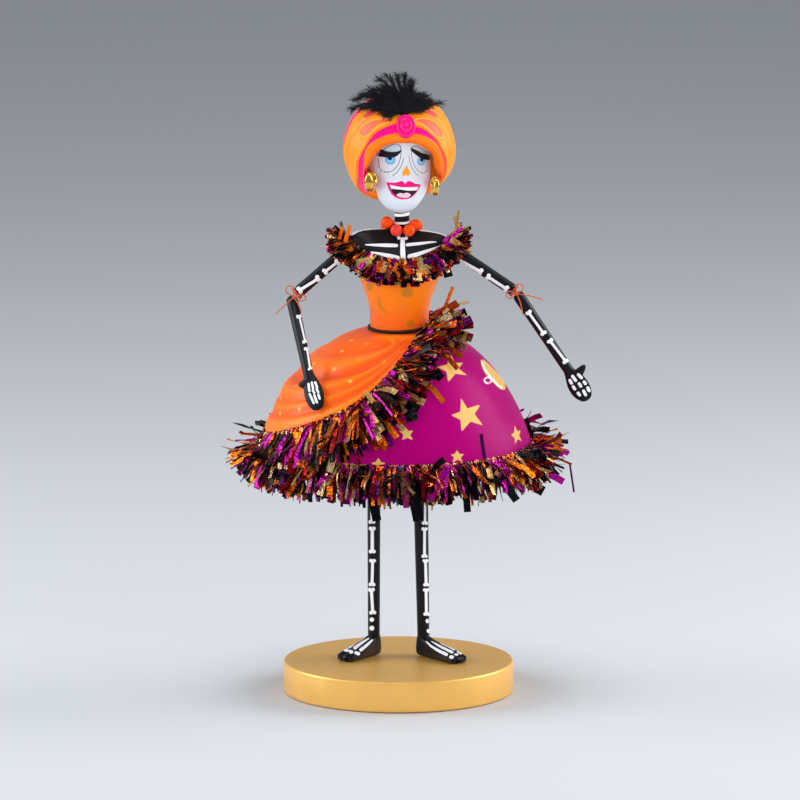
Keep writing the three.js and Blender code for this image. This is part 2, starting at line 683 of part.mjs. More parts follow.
function buildFigure() {
  const figure = new THREE.Group();
  const black = 0x17171a;
  const gold = 0xb98a3e;
  const orange = 0xe8641c;
  figure.add(makePiece('base', base(), gold, 0.45, 0.6));
  figure.add(makePiece('right_leg', leg(RIGHT_LEG), black, 0.5, 0));
  figure.add(makePiece('left_leg', leg(LEFT_LEG), black, 0.5, 0));
  figure.add(makePiece('skirt', skirt(), 0xb0167c, 0.5, 0));
  figure.add(makePiece('torso', torso(0), orange, 0.5, 0));
  figure.add(makePiece('waist_cord', waistCord(), black, 0.7, 0));

  const frame = headFrame();
  frame.add(makePiece('head', head(frame), 0xf0902c, 0.5, 0));
  for (const [name, side] of [['right_earring', RIGHT_EARRING], ['left_earring', LEFT_EARRING]]) {
    const hoop = makePiece(name, earring(side), 0xd9b64a, 0.25, 1);
    hoop.position.set(...side.centre);
    frame.add(hoop);
  }
  figure.add(frame);

  for (let index = 0; index < BEAD_COUNT; index += 1) {
    const ball = makePiece(`bead_${index + 1}`, bead(), 0xe2501e, 0.6, 0);
    ball.position.copy(beadCentre(index));
    figure.add(ball);
  }
  figure.add(makePiece('feather_plume', plume(frame), black, 0.8, 0));

  const wideTorso = torso(GAP);
  const fringeTools = [wideTorso];
  for (const [side, arm, bow] of [['right', RIGHT_ARM, RIGHT_BOW], ['left', LEFT_ARM, LEFT_BOW]]) {
    fringeTools.push(bar(arm.shoulder, arm.elbow, ARM_RADIUS + GAP, ARM_RADIUS + GAP, 12));
    figure.add(makePiece(`${side}_upper_arm`, cut(upperArm(arm), [wideTorso]), black, 0.5, 0));
    figure.add(makePiece(`${side}_forearm`, forearm(arm), black, 0.5, 0));
    const thread = makePiece(`${side}_elbow_bow`, elbowBow(bow), 0xc9622c, 0.6, 0);
    thread.position.set(...bow.knot);
    figure.add(thread);
  }

  figure.add(makePiece('hem_fringe', hemFringe(), 0x8d5a24, 0.3, 0.9));
  figure.add(makePiece('drape_fringe', drapeFringe(), 0x9a5f22, 0.3, 0.9));
  figure.add(makePiece('neckline_fringe', necklineFringe(fringeTools), 0x7b2a4c, 0.3, 0.9));
  return figure;
}

export default buildFigure();
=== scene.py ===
"""Skeleton fortune teller doll: painted carving, foil fringes and feathers on a gold stand."""

import math
import random

import bmesh
import bpy
import numpy as np
from bpy.props import FloatProperty, FloatVectorProperty, IntProperty, PointerProperty
from mathutils import Matrix, Vector, noise


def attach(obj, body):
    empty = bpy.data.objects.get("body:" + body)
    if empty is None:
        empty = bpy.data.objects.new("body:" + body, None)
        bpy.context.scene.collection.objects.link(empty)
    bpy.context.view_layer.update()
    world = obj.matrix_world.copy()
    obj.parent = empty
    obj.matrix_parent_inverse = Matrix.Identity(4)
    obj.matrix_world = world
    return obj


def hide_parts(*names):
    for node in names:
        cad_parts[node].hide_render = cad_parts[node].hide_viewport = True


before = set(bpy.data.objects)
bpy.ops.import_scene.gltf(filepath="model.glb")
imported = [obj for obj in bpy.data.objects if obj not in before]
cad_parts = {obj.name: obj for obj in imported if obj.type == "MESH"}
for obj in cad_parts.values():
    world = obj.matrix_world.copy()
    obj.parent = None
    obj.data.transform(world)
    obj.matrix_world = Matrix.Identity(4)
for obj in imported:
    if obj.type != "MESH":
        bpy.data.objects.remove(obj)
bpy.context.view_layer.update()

bl_info = {
    "name": "Skeleton fortune teller doll",
    "version": (1, 0, 0),
    "blender": (4, 5, 0),
    "location": "View3D > Sidebar > Doll",
    "description": "Painted doll with foil fringes, feathers and beads on a gold stand",
    "category": "Add Mesh",
}

# Shapes are worked out in millimetres and brought to metres when a piece is finished
MM = 0.001
TURN = 2 * math.pi
UP = Vector((0, 0, 1))
DOWN = Vector((0, 0, -1))

# The upright axis of the body
BODY = Vector((0.6, 8.0, 0.0))
# The middle of the skirt stands a little to the right of it
SKIRT_AXIS = Vector((-0.1, 8.0, 0.0))

# Stand
STAND_RADIUS = 80.5
STAND_HEIGHT = 22.0
RIM_ROUNDING = 1.7

# Legs: hip and ankle on the leg axis, radius at the hip, way the foot points and length of the foot
HIP_Z = 246.0
ANKLE_RADIUS = 4.15
SOLE_Z = 22.35
LEGS = {
    "right": {"hip": (-17.2, 8), "hip_radius": 5.1, "ankle": (-17.3, 15), "splay": -41, "length": 38},
    "left": {"hip": (13.6, 8), "hip_radius": 6.2, "ankle": (17.6, 12), "splay": 43, "length": 44},
}
# Foot: share of the way ahead to the toes, height of its top, half width
FOOT = (
    (0.11, 13.4, 4.7), (0.26, 11.4, 5.3), (0.42, 9.9, 6.1), (0.68, 7.8, 7.3), (0.84, 6.2, 7.6), (1, 4.6, 7.2),
)
# Its height and reach back from the ankle
INSTEP = (4.3, 13.6)
TOE_ROUNDING = 1.7

# Skirt: a dome with a superellipse for its profile, and half its width where the waist covers it
HEM_Z = 177.0
HEM_RADIUS = 92.6
DOME_HEIGHT = 80.5
DOME_TOP_POWER = 1.2
DOME_SIDE_POWER = 2.6
SKIRT_WALL = 4.0
CROWN_RADIUS = 19.2

# Overskirt: height of its edge at degrees round from the right side
OVERSKIRT_LIFT = 2.4
LEAST_LIFT = 0.45
LIP_ROUNDING = 0.9
OVERSKIRT_EDGE = (
    (0, 184), (15, 186.5), (30, 192.4), (46, 200.9), (58, 208.8), (64, 213.5), (73, 222.1), (81.3, 231.9),
    (88.9, 240.6), (95.2, 246.6), (103.6, 251.4), (118, 254.6), (180, 255.4),
)
# How far the overskirt stands off the skirt on the side, by share of the way down to the edge
SIDE_RISE = ((0, 0.45), (0.28, 0.5), (0.4, 1.7), (0.56, 2.9), (0.64, 3.7), (0.75, 3.5), (0.92, 3), (1, 2.4))
# Height of the folds' ridges and valleys, by share of the way down to the edge
FOLDS = (
    (0, 0), (0.16, 0.2), (0.25, 0.1), (0.33, -0.5), (0.45, 0.9), (0.58, -1.1), (0.67, 0.6), (0.745, -0.5),
    (0.79, 0.2), (0.86, -0.9), (0.95, 0.8), (1, 0.4),
)
FOLD_DEPTH = 1.5

# Torso and neck: height, half width, half depth, sideways shift of the middle
TORSO = (
    (257.2, 20.4, 20.0, 0), (262, 20.6, 20.2, 0), (268.5, 20.7, 20.3, 0), (277, 22.2, 20.7, 0),
    (287.6, 25.9, 21.6, 0), (298, 30.2, 22, 0), (305.5, 33.3, 21.2, 0), (312.5, 35, 18.4, 0),
    (318, 35, 13.4, 0), (323, 32.5, 7.6, 0.3), (325.6, 22.5, 5, 0.8), (327.3, 11, 4.6, 1.2),
    (329, 5.2, 5.2, 1.8), (350.5, 5.2, 5.2, 1.8),
)

# Arms: shoulder, elbow, wrist, finger tips, reach of the thumb, and the way the bones face
ARM_RADIUS = 4.2
WRIST_RADIUS = 3.7
THUMB_RADIUS = 2.9
ARMS = {
    "right": {
        "shoulder": (-31, 6, 317.5), "elbow": (-72.4, 5, 281), "forearm_top": (-75.2, 5, 281),
        "wrist": (-63.2, -38, 234.5), "tip": (-55.9, -57, 211.2), "thumb": -7.4, "palm": 0.84,
        "upper_face": (-0.2, -1, 0.35), "lower_face": (0.75, -0.8, 0.2),
    },
    "left": {
        "shoulder": (32, 6, 317.5), "elbow": (82.2, 2, 283.7), "forearm_top": (82.2, 2, 283.7),
        "wrist": (117.9, 0, 230), "tip": (132.5, -3, 207.6), "thumb": 10.5, "palm": 1,
        "upper_face": (0, -1, 0.2), "lower_face": (-0.1, -1, 0),
    },
}
# Hand: share of the way to the finger tips, half width, half thickness
HAND = (
    (0, 3.6, 3.6), (0.1, 3.9, 3.4), (0.25, 5.4, 3), (0.45, 7.1, 2.8), (0.62, 7.4, 2.6), (0.8, 6.4, 2.3),
    (0.93, 4.4, 1.8), (1, 3.4, 1.5),
)
# Bones painted on the arms, each from end to end as seen from the front
ARM_BONES = {
    "right_upper_arm": (
        ((-41.6, 306.2), (-52.6, 297.5), 0.95, 1.35), ((-54.7, 294.5), (-70.6, 284.4), 1, 1.5),
    ),
    "right_forearm": (
        ((-69.7, 268.2), (-64.9, 247.5), 0.65, 1.2), ((-64.2, 245.2), (-61.6, 228.3), 0.65, 1.2),
    ),
    "left_upper_arm": (
        ((40.2, 307.9), (58.8, 297.5), 1.25, 1.5), ((61.1, 295.7), (76.8, 285.4), 1.05, 1.4),
    ),
    "left_forearm": (
        ((90.1, 270.8), (102.3, 253.5), 0.85, 1.3), ((105.1, 250.6), (117.9, 233.5), 0.8, 1.3),
    ),
}
# Finger bones on the backs of the hands: their ends, as seen from the front, and half width
FINGER_BONES = {
    "right": (0.78, (
        ((-63, 218.6), (-62.4, 213.6)), ((-60.7, 219.6), (-59.8, 215.4)), ((-58.3, 219.8), (-57, 216.4)),
        ((-60, 213.9), (-58.9, 212.2)), ((-57.3, 215), (-56.2, 212.7)), ((-62.2, 211.4), (-59.3, 205)),
        ((-58.9, 210.5), (-57.1, 205.5)), ((-56.1, 210.9), (-55.2, 208.2)),
    )),
    "left": (1.05, (
        ((119.9, 221.2), (121.1, 219.1)), ((121.8, 224.1), (124, 221.1)), ((125.9, 225.3), (128, 223)),
        ((122.3, 216.6), (123.4, 215)), ((126.4, 218.8), (127.6, 217)), ((129.9, 220.1), (130.8, 218.8)),
        ((125.7, 212.1), (126.8, 210.7)), ((129.6, 213.6), (131, 210.8)), ((132.5, 215.9), (133.4, 213.8)),
    )),
}

# Elbow bows of thread: knot, loops (angle seen from the front, distance, half length, half width), tails
THREAD_RADIUS = 0.4
BOWS = {
    "right": {
        "knot": (-73.2, -4.2, 281.2), "loops": ((117, 5.9, 2.9, 2.9), (-4, 5.4, 3, 2.3)),
        "tails": ((-12.6, -3, -11.2), (5.3, -7, -9.3)),
    },
    "left": {
        "knot": (82.6, -4.6, 283.7), "loops": ((67, 4.9, 2.8, 2.8), (188, 4.7, 2.6, 2.4)),
        "tails": ((18.6, -1, -4.1), (4.4, -2, -14.6)),
    },
}

# Head: a frame for the turban, with the face turned a little further in it
HEAD_CENTRE = Vector((0.7, 4, 388))
HEAD_FRAME = (
    Matrix.Translation(HEAD_CENTRE)
    @ Matrix.Rotation(math.radians(2.5), 4, "Y")
    @ Matrix.Rotation(math.radians(6), 4, "Z")
)
FACE_FRAME = HEAD_FRAME @ Matrix.Rotation(math.radians(6), 4, "Z")
# Face: height, half width, middle depth, half depth
FACE = (
    (-45.9, 0, -12, 0), (-45.5, 4, -12, 4), (-44.4, 7.2, -11.5, 7), (-42.2, 10.4, -11, 9.5),
    (-37.4, 14.8, -9, 14.2), (-31.5, 18.6, -7, 17.2), (-26, 21, -4.6, 20), (-17, 22.4, -2.5, 22),
    (-4, 22.4, -1.6, 22.9), (8, 21.6, -1.5, 22.5), (20, 17, -1, 17.5), (28, 9, 0, 9), (31, 0, 0, 0),
)
# Below this the face rounds off to the chin
CHIN_Z = -42.2
# Turban: radius of the ball, and at degrees round from the top of the face, where it is widest
TURBAN_RADIUS = 39.5
TURBAN_RADII = (
    (-180, 39.8), (-163, 41.6), (-147, 43.1), (-135, 42.3), (-116, 40.4), (-94, 39.3), (-66, 38.6),
    (-30, 38.3), (0, 38.2), (46, 38.1), (72, 38.1), (93, 39.6), (113, 40.4), (132, 39.9), (180, 39.8),
)
# Edges of the wrap and of the rolled brim: degrees round, degrees away from straight ahead
WRAP_EDGE = (
    (-180, 97), (-170, 93), (-160, 90), (-146, 88), (-138.5, 83), (-127.4, 69.5), (-117.2, 62.5),
    (-107.2, 57.5), (-100.2, 53.2), (-92.4, 48.8), (-86, 45.6), (-79.9, 44), (-68.6, 42.4),
    (-56.2, 40.5), (-41, 37.6), (-28.7, 36.4), (-17.9, 35.7), (0, 33.5), (19.3, 32.9), (32.1, 34.6),
    (46.6, 36), (59.9, 37.8), (71.9, 40), (82.6, 43.2), (95.5, 50.2), (102.7, 54.4), (114.6, 61),
    (122.9, 66), (130.5, 74), (145, 84), (160, 92), (180, 97),
)
BRIM_EDGE = (
    (-180, 92), (-160, 78), (-145, 70), (-135, 62), (-127, 56), (-119.9, 51.6), (-110.4, 48.4),
    (-100.7, 46.6), (-92.8, 45.1), (-84.6, 42.8), (-79.5, 40.8), (-70, 36.7), (-58.3, 31.9),
    (-45.1, 28.3), (-31, 25.3), (0, 23.8), (26.6, 24.9), (45, 28.5), (59.4, 32.6), (70.9, 37),
    (83, 40.9), (91.9, 44.1), (98, 47.3), (109.1, 52.9), (121.4, 59.8), (129.9, 68), (145, 79),
    (160, 88), (180, 92),
)
# Edge of the brim over the face
BRIM_INNER = (
    (-180, 86), (-160, 72), (-145, 62), (-135, 54), (-125.6, 56.2), (-113.4, 46.1), (-100.9, 36.9),
    (-87.7, 30.7), (-72.9, 24.7), (-56.6, 19.1), (-24.9, 13.4), (3.9, 12.4), (21.4, 13.3), (56.6, 18.7),
    (76, 25.4), (86.9, 31.4), (96.6, 37.2), (105.8, 41.8), (119.2, 52), (131.2, 77.9), (145, 70),
    (160, 80), (180, 86),
)
# Jewel: degrees up from straight ahead, half its width and height, and its seat in the ball
JEWEL_TILT = 29.5
JEWEL_SIZE = (6.9, 8.7)
# Where each earring hangs and how many degrees it is turned
EARRINGS = {"right": ((-21.9, -26.2, -20.3), 62), "left": ((22.9, -27.4, -22.6), -80)}

# Necklace: a ring of beads, which droops in front
BEAD_COUNT = 8
BEAD_RADIUS = 4.2
BEAD_RING_RADIUS = 11.45
BEAD_RING = Vector((2.3, 8, 331.8))
BEAD_DROOP = 4.2
# Single beads sit a little off the ring: bead, to the left, up
BEAD_SHIFTS = {0: (0.7, 0.0), 7: (0.7, 0.0), 1: (-0.7, 0.0), 6: (0.0, 1.9)}

# Plume
PLUME_ROOT = Vector((4, -27, 415))
BARB_THICKNESS = 0.14
# Seen from the front, how each feather bends and where its tip is, with its share of the barbs
FEATHERS = (
    ((-12.9, 424.1), (-33.6, 413.6), 1.2), ((-14.3, 429.1), (-31.4, 419.8), 1.1),
    ((-9.4, 426.2), (-26.5, 423.7), 1.2), ((-7.3, 431.9), (-20.9, 426.5), 1.1),
    ((-4.5, 431.9), (-14.6, 435.5), 0.6), ((-1.8, 433.4), (-9, 438), 0.6), ((1, 430.5), (-1, 438), 0.7),
    ((5.2, 430.5), (4.1, 438.5), 0.8), ((7.3, 426.2), (9, 433.4), 0.9), ((10.1, 420.9), (15.3, 424), 1),
    ((12.2, 418.5), (21.9, 420), 1.1), ((15, 416.9), (29.9, 418.2), 1),
    ((-5.9, 417.7), (-17, 413.5), 1.2), ((-9.4, 416.8), (-26.6, 414.1), 1.3),
    ((10.8, 415.8), (20.2, 414.4), 0.8), ((-3, 414.8), (-9.6, 409), 1),
    ((1, 423.4), (-4.5, 427.2), 1.5), ((4, 420), (4.5, 428), 1.4), ((-8, 420), (-14, 419), 1.6),
    ((6, 419), (12, 424), 1.5), ((-8, 422), (-17, 424.5), 1.4), ((-2, 412.8), (-5, 408.8), 0.7),
    ((8, 415), (15, 413), 0.5), ((-3, 424), (-10, 429), 1.3), ((8, 423), (9, 427.5), 1.2),
    ((12, 421), (19, 423), 1.1),
)

# Camera: a long lens at the viewing angle, aimed at the middle of the picture
CAMERA_TARGET = Vector((1.05, 0, 207.17))
CAMERA_DISTANCE = 14000.0
CAMERA_DOWN = 11.0
CAMERA_LENS = 900.0
# How much a spot is seen higher for each millimetre that it lies farther back
VIEW_SLOPE = math.tan(math.radians(CAMERA_DOWN))
# The way from which the front of the doll is painted
TO_FRONT = Vector((0, -1, 0.19))


def linear(red, green, blue):
    """Colour picked on a screen, 0 to 255, as the light it stands for."""
    values = [c / 255 for c in (red, green, blue)]
    return [c / 12.92 if c <= 0.04045 else ((c + 0.055) / 1.055) ** 2.4 for c in values] + [1.0]


def colour(red, green, blue, name, words):
    return FloatVectorProperty(
        name=name, description=words, subtype="COLOR", size=4, min=0, max=1, default=linear(red, green, blue)
    )


class DollColours(bpy.types.PropertyGroup):
    """Paint and foil colours"""

    gold: colour(244, 190, 100, "Stand gold", "Satin gold paint of the stand")
    black: colour(13, 14, 20, "Black", "Black paint of limbs and chest")
    bone: colour(232, 234, 240, "Bone white", "White paint of the bones")
    magenta: colour(154, 0, 100, "Magenta", "Paint of the skirt")
    overskirt: colour(244, 100, 8, "Orange red", "Paint of the overskirt")
    bodice: colour(240, 122, 4, "Bodice orange", "Paint of the bodice")
    star: colour(212, 170, 98, "Star gold", "Gold paint of the stars and dots")
    turban: colour(252, 138, 18, "Turban orange", "Paint of the turban")
    brim: colour(246, 108, 2, "Brim orange", "Paint of the turban's rolled brim")
    pink: colour(250, 0, 122, "Pink", "Second layer and jewel of the turban")
    face: colour(246, 248, 252, "Face white", "Paint of the face")
    bead: colour(238, 74, 8, "Bead orange", "Paint of the beads")
    thread: colour(196, 84, 38, "Thread", "Waxed thread of the elbow bows")


class DollFringe(bpy.types.PropertyGroup):
    """Foil fringes and feathers"""

    strip_width: FloatProperty(
        name="Strip width", description="Width of a foil strip", default=3.7 * MM, unit="LENGTH", min=0.001
    )
    strip_thickness: FloatProperty(
        name="Strip thickness", description="Thickness of the foil", default=0.12 * MM, unit="LENGTH",
        min=0.00005,
    )
    hem_strips: IntProperty(name="Hem strips", description="Strips round the hem", default=1500, min=10)
    drape_strips: IntProperty(
        name="Drape strips", description="Strips along the overskirt", default=1150, min=10
    )
    neck_strips: IntProperty(
        name="Neckline strips", description="Strips round the shoulders", default=960, min=10
    )
    barbs: IntProperty(name="Barbs", description="Downy barbs of all the feathers", default=6800, min=10)


def smooth(x, low, high):
    """0 at low, 1 at high and an even ease between them."""
    share = np.clip((np.asarray(x, float) - low) / (high - low), 0, 1)
    return share * share * (3 - 2 * share)


def turned(first, second, angle):
    """The first way turned towards the second, which is square to it."""
    return first * math.cos(angle) + second * math.sin(angle)


def ways_round(turn):
    """The ways outward and along a ring round the upright axis."""
    out = Vector((math.cos(turn), math.sin(turn), 0))
    return out, Vector((-out.y, out.x, 0))


def closer_in_front(across, much):
    """Angle of a column round the upright axis. Columns stand closer in front, where most is painted."""
    turn = across - 0.5
    return -math.pi / 2 + TURN * (turn - much * math.sin(TURN * turn))


def ball_end(radius, gap):
    """Radius of a rod at a gap from its round end."""
    return math.sqrt(max(0.0, radius**2 - (radius - gap) ** 2)) if gap < radius else radius


def vertex_rows(piece, what):
    flat = np.empty(len(piece.data.vertices) * 3)
    piece.data.vertices.foreach_get(what, flat)
    return flat.reshape(-1, 3)


def along(stations, x, column=1):
    """Value at x on a smooth line through the stations, flat beyond the first and last."""
    spots = [s[0] for s in stations]
    values = [s[column] for s in stations]
    if x <= spots[0]:
        return values[0]
    if x >= spots[-1]:
        return values[-1]
    i = next(k for k in range(1, len(spots)) if x <= spots[k])
    width = spots[i] - spots[i - 1]
    share = (x - spots[i - 1]) / width
    slopes = []
    for k in (i - 1, i):
        before = max(k - 1, 0)
        after = min(k + 1, len(spots) - 1)
        slope = (values[after] - values[before]) / (spots[after] - spots[before])
        inner = [(values[j + 1] - values[j]) / (spots[j + 1] - spots[j]) for j in (before, after - 1)]
        if inner[0] * inner[1] <= 0:
            slope = 0.0
        slopes.append(math.copysign(min(abs(slope), 3 * min(abs(v) for v in inner)), slope))
    a, b = share, 1 - share
    return (
        values[i - 1] * (1 + 2 * a) * b * b + values[i] * (3 - 2 * a) * a * a
        + width * (slopes[0] * a * b * b - slopes[1] * a * a * b)
    )


def bend(bm, columns, rows, place):
    """Bends a flat grid into a skin: place(across, down) is the spot for shares of its width and height."""
    sheet = bmesh.ops.create_grid(bm, x_segments=columns, y_segments=rows, size=1)["verts"]
    for vert in sheet:
        vert.co = place((vert.co.x + 1) / 2, (vert.co.y + 1) / 2)
    bmesh.ops.remove_doubles(bm, verts=sheet, dist=1e-3)


def finish(name, bm, materials, nodes, shade_smooth=True, recalculate=True):
    """Makes an object of a bmesh in millimetres. It rides on the body and stands for its nodes."""
    if recalculate:
        bmesh.ops.recalc_face_normals(bm, faces=bm.faces)
    bmesh.ops.scale(bm, vec=(MM, MM, MM), verts=bm.verts)
    for face in bm.faces:
        face.smooth = shade_smooth
    mesh = bpy.data.meshes.new(name)
    bm.to_mesh(mesh)
    bm.free()
    for material in materials:
        mesh.materials.append(material)
    piece = bpy.data.objects.new(name, mesh)
    bpy.context.scene.collection.objects.link(piece)
    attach(piece, "root")
    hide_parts(*nodes)
    return piece


def spots_of(piece):
    return vertex_rows(piece, "co") / MM


def in_frame(matrix, spots):
    """Spots as they lie in a frame."""
    return (np.array(matrix.inverted()) @ np.vstack([spots.T, np.ones(len(spots))]))[:3].T


def paint(piece, name, values):
    """Keeps a number at each vertex: how far it is, in millimetres, outside the edge of a painted shape."""
    layer = piece.data.attributes.new(name, "FLOAT", "POINT")
    layer.data.foreach_set("value", np.ascontiguousarray(values, dtype=np.float32))


def capsule(p, start, end, radius, end_radius=None):
    """Distance to a straight stroke, which may narrow towards its end."""
    start, end = np.array(start, float), np.array(end, float)
    axis = end - start
    share = np.clip(((p - start) @ axis) / max(axis @ axis, 1e-9), 0, 1)
    last = radius if end_radius is None else end_radius
    return np.linalg.norm(p - start - share[:, None] * axis, axis=1) - radius - (last - radius) * share


def line(p, points, *widths):
    """Distance to a stroke through points, with its half width at each, or the same all along."""
    if len(widths) == 1:
        widths = widths * len(points)
    return np.min([
        capsule(p, points[k], points[k + 1], widths[k], widths[k + 1]) for k in range(len(points) - 1)
    ], axis=0)


def disc(p, centre, radius, stretch=1.0):
    offset = (p - np.array(centre, float)) * np.array((1.0, 1.0 / stretch))
    return np.linalg.norm(offset, axis=1) - radius


def polygon(p, corners):
    """Signed distance to a polygon, negative inside."""
    corners = np.array(corners, float)
    distance = np.full(len(p), np.inf)
    inside = np.zeros(len(p), bool)
    for a, b in zip(corners, np.roll(corners, -1, axis=0)):
        distance = np.minimum(distance, capsule(p, a, b, 0))
        crosses = (a[1] > p[:, 1]) != (b[1] > p[:, 1])
        level = np.where(abs(b[1] - a[1]) < 1e-9, 1e-9, b[1] - a[1])
        inside ^= crosses & (p[:, 0] < (b[0] - a[0]) * (p[:, 1] - a[1]) / level + a[0])
    return np.where(inside, -distance, distance)


def curve_through(points, steps=6, closed=True):
    """Points on a smooth curve through the given ones."""
    count = len(points)
    out = []
    for i in range(count if closed else count - 1):
        quad = []
        for k in range(-1, 3):
            index = (i + k) % count if closed else min(max(i + k, 0), count - 1)
            quad.append(np.array(points[index], float))
        for step in range(steps):
            t = step / steps
            a, b, c, d = quad
            bow = (2 * a - 5 * b + 4 * c - d) * t**2 + (3 * b - a - 3 * c + d) * t**3
            out.append(0.5 * (2 * b + (c - a) * t + bow))
    if not closed:
        out.append(np.array(points[-1], float))
    return out


def seen(spots):
    """Where spots show, looked at from in front and a little above: across and up on the middle plane."""
    down = math.radians(CAMERA_DOWN)
    eye = np.array(CAMERA_TARGET) - CAMERA_DISTANCE * np.array((0, math.cos(down), -math.sin(down)))
    share = eye[1] / (eye[1] - spots[:, 1])
    flat = eye + (spots - eye) * share[:, None]
    return flat[:, [0, 2]]


def facing(piece, least=0.08):
    """Vertices of a piece whose skin faces the front."""
    return vertex_rows(piece, "normal") @ np.array(TO_FRONT.normalized()) > least


def star(radius, turn):
    """Corners of a five pointed star about the origin."""
    corners = []
    for k in range(10):
        reach = radius if k % 2 == 0 else radius * 0.4
        angle = math.radians(turn + 90 + 36 * k)
        corners.append((reach * math.cos(angle), reach * math.sin(angle)))
    return corners


def bone(p, start, end, shaft, knob):
    """Painted bone: a shaft with two knobs at each end."""
    start, end = np.array(start, float), np.array(end, float)
    length = float(np.linalg.norm(end - start))
    axis = (end - start) / length
    side = np.array((-axis[1], axis[0]))
    offset = p - start
    down = offset @ axis
    out = offset @ side
    t = np.clip(down / length, 0, 1)
    flare = shaft + (knob * 0.85 - shaft) * np.abs(2 * t - 1) ** 4
    inside = np.maximum(np.abs(down - length / 2) - length / 2 + knob * 1.1, np.abs(out) - flare)
    knobs = [
        np.hypot(down - place, out - way * knob * 0.86) - knob
        for place in (knob * 1.15, length - knob * 1.15) for way in (-1, 1)
    ]
    return np.minimum(inside, np.min(knobs, axis=0))


class Finish:
    """A paint being built up: layers of colour over each other, then fine relief."""

    def __init__(self, name, base, roughness, metallic=0.0):
        self.material = bpy.data.materials.new(name)
        self.material.use_nodes = True
        self.tree = self.material.node_tree
        self.shader = self.tree.nodes["Principled BSDF"]
        self.shader.inputs["Roughness"].default_value = roughness
        self.shader.inputs["Metallic"].default_value = metallic
        self.shader.inputs["Base Color"].default_value = base
        self.place = self.node("ShaderNodeTexCoord").outputs["Object"]
        self.colour = base

    def node(self, kind, **values):
        made = self.tree.nodes.new(kind)
        for key, value in values.items():
            setattr(made, key, value)
        return made

    def feed(self, socket, value):
        if isinstance(value, bpy.types.NodeSocket):
            self.tree.links.new(value, socket)
        else:
            socket.default_value = value

    def grain(self, scale, detail):
        made = self.node("ShaderNodeTexNoise")
        self.feed(made.inputs["Vector"], self.place)
        for key, number in (("Scale", scale), ("Detail", detail), ("Roughness", 0.55)):
            made.inputs[key].default_value = number
        return made.outputs["Fac"]

    def spread(self, value, low, high, to_low=0.0, to_high=1.0):
        made = self.node("ShaderNodeMapRange")
        self.feed(made.inputs["Value"], value)
        for key, number in (("From Min", low), ("From Max", high), ("To Min", to_low), ("To Max", to_high)):
            made.inputs[key].default_value = number
        return made.outputs["Result"]

    def attribute(self, name):
        return self.node("ShaderNodeAttribute", attribute_name=name).outputs["Fac"]

    def layer(self, over, factor, mode="MIX"):
        """Lays a colour over what is there, as strongly as factor says."""
        mix = self.node("ShaderNodeMix", data_type="RGBA", blend_type=mode)
        for key, value in (("Factor", factor), ("A", self.colour), ("B", over)):
            self.feed(mix.inputs[key], value)
        self.colour = mix.outputs["Result"]
        return self

    def wash(self, name, over, low, high, most, least=0.0):
        """Lays a colour on as a number kept at the vertices goes from low to high."""
        over = linear(*over) if len(over) == 3 else over
        return self.layer(over, self.spread(self.attribute(name), low, high, least, most))

    def shape(self, name, over, edge=0.06, offset=0.0):
        """Lays a colour inside a painted shape."""
        return self.wash(name, over, offset + edge, offset - edge, 1.0)

    def mottle(self, scale, amount, detail):
        """Slight unevenness of the brushed colour."""
        light = self.spread(self.grain(scale, detail), 0.3, 0.7, 1 - amount, 1 + amount * 0.6)
        grey = self.node("ShaderNodeCombineColor")
        for key in ("Red", "Green", "Blue"):
            self.feed(grey.inputs[key], light)
        return self.layer(grey.outputs["Color"], 1.0, "MULTIPLY")

    def relief(self, height, strength, distance):
        bump = self.node("ShaderNodeBump")
        bump.inputs["Strength"].default_value = strength
        bump.inputs["Distance"].default_value = distance * MM
        self.feed(bump.inputs["Height"], height)
        self.feed(self.shader.inputs["Normal"], bump.outputs["Normal"])
        return self

    def rough(self, scale, detail, strength, distance):
        """Fine grain of the surface."""
        return self.relief(self.grain(scale, detail), strength, distance)

    def done(self):
        self.feed(self.shader.inputs["Base Color"], self.colour)
        return self.material


def painted(name, base, roughness=0.42, amount=0.08, relief=0.12, gloss=0.22):
    """Satin brushed paint on carved wood, before its shapes are laid on."""
    made = Finish(name, base, roughness)
    made.shader.inputs["Specular IOR Level"].default_value = gloss
    return made.mottle(140, amount, 4).rough(900, 2, relief, 0.25)


def dome_level(spots, grow=0.0):
    """Spots about the skirt's axis, and how far out they lie: 1 on the dome as grown, less inside it."""
    offset = spots - np.array(SKIRT_AXIS)
    radius = np.hypot(offset[:, 0], offset[:, 1])
    height = np.maximum(spots[:, 2] - HEM_Z, 0)
    level = (radius / (HEM_RADIUS + grow)) ** DOME_SIDE_POWER
    level += (height / (DOME_HEIGHT + grow)) ** DOME_TOP_POWER
    return offset, radius, height, level


def dome(turn, tilt, lift=0.0, shrink=0.0):
    """Spot on the skirt's dome: turn round the body axis, tilt down from the top."""
    def profile(t):
        radius = (HEM_RADIUS - shrink) * max(0.0, math.sin(t)) ** (2 / DOME_SIDE_POWER)
        height = (DOME_HEIGHT - shrink) * max(0.0, math.cos(t)) ** (2 / DOME_TOP_POWER)
        return radius, height

    step = 1e-3
    radius, height = profile(tilt)
    if lift:
        before = profile(tilt - step)
        across, up = before[1] - height, radius - before[0]
        size = math.hypot(across, up)
        radius += lift * across / size
        height += lift * up / size
    return SKIRT_AXIS + Vector((radius * math.cos(turn), radius * math.sin(turn), HEM_Z + height))


def tilt_at_height(height):
    return math.acos(min(1.0, max(0.0, (height - HEM_Z) / DOME_HEIGHT)) ** (DOME_TOP_POWER / 2))


def tilt_at_radius(radius):
    return math.asin((radius / HEM_RADIUS) ** (DOME_SIDE_POWER / 2))


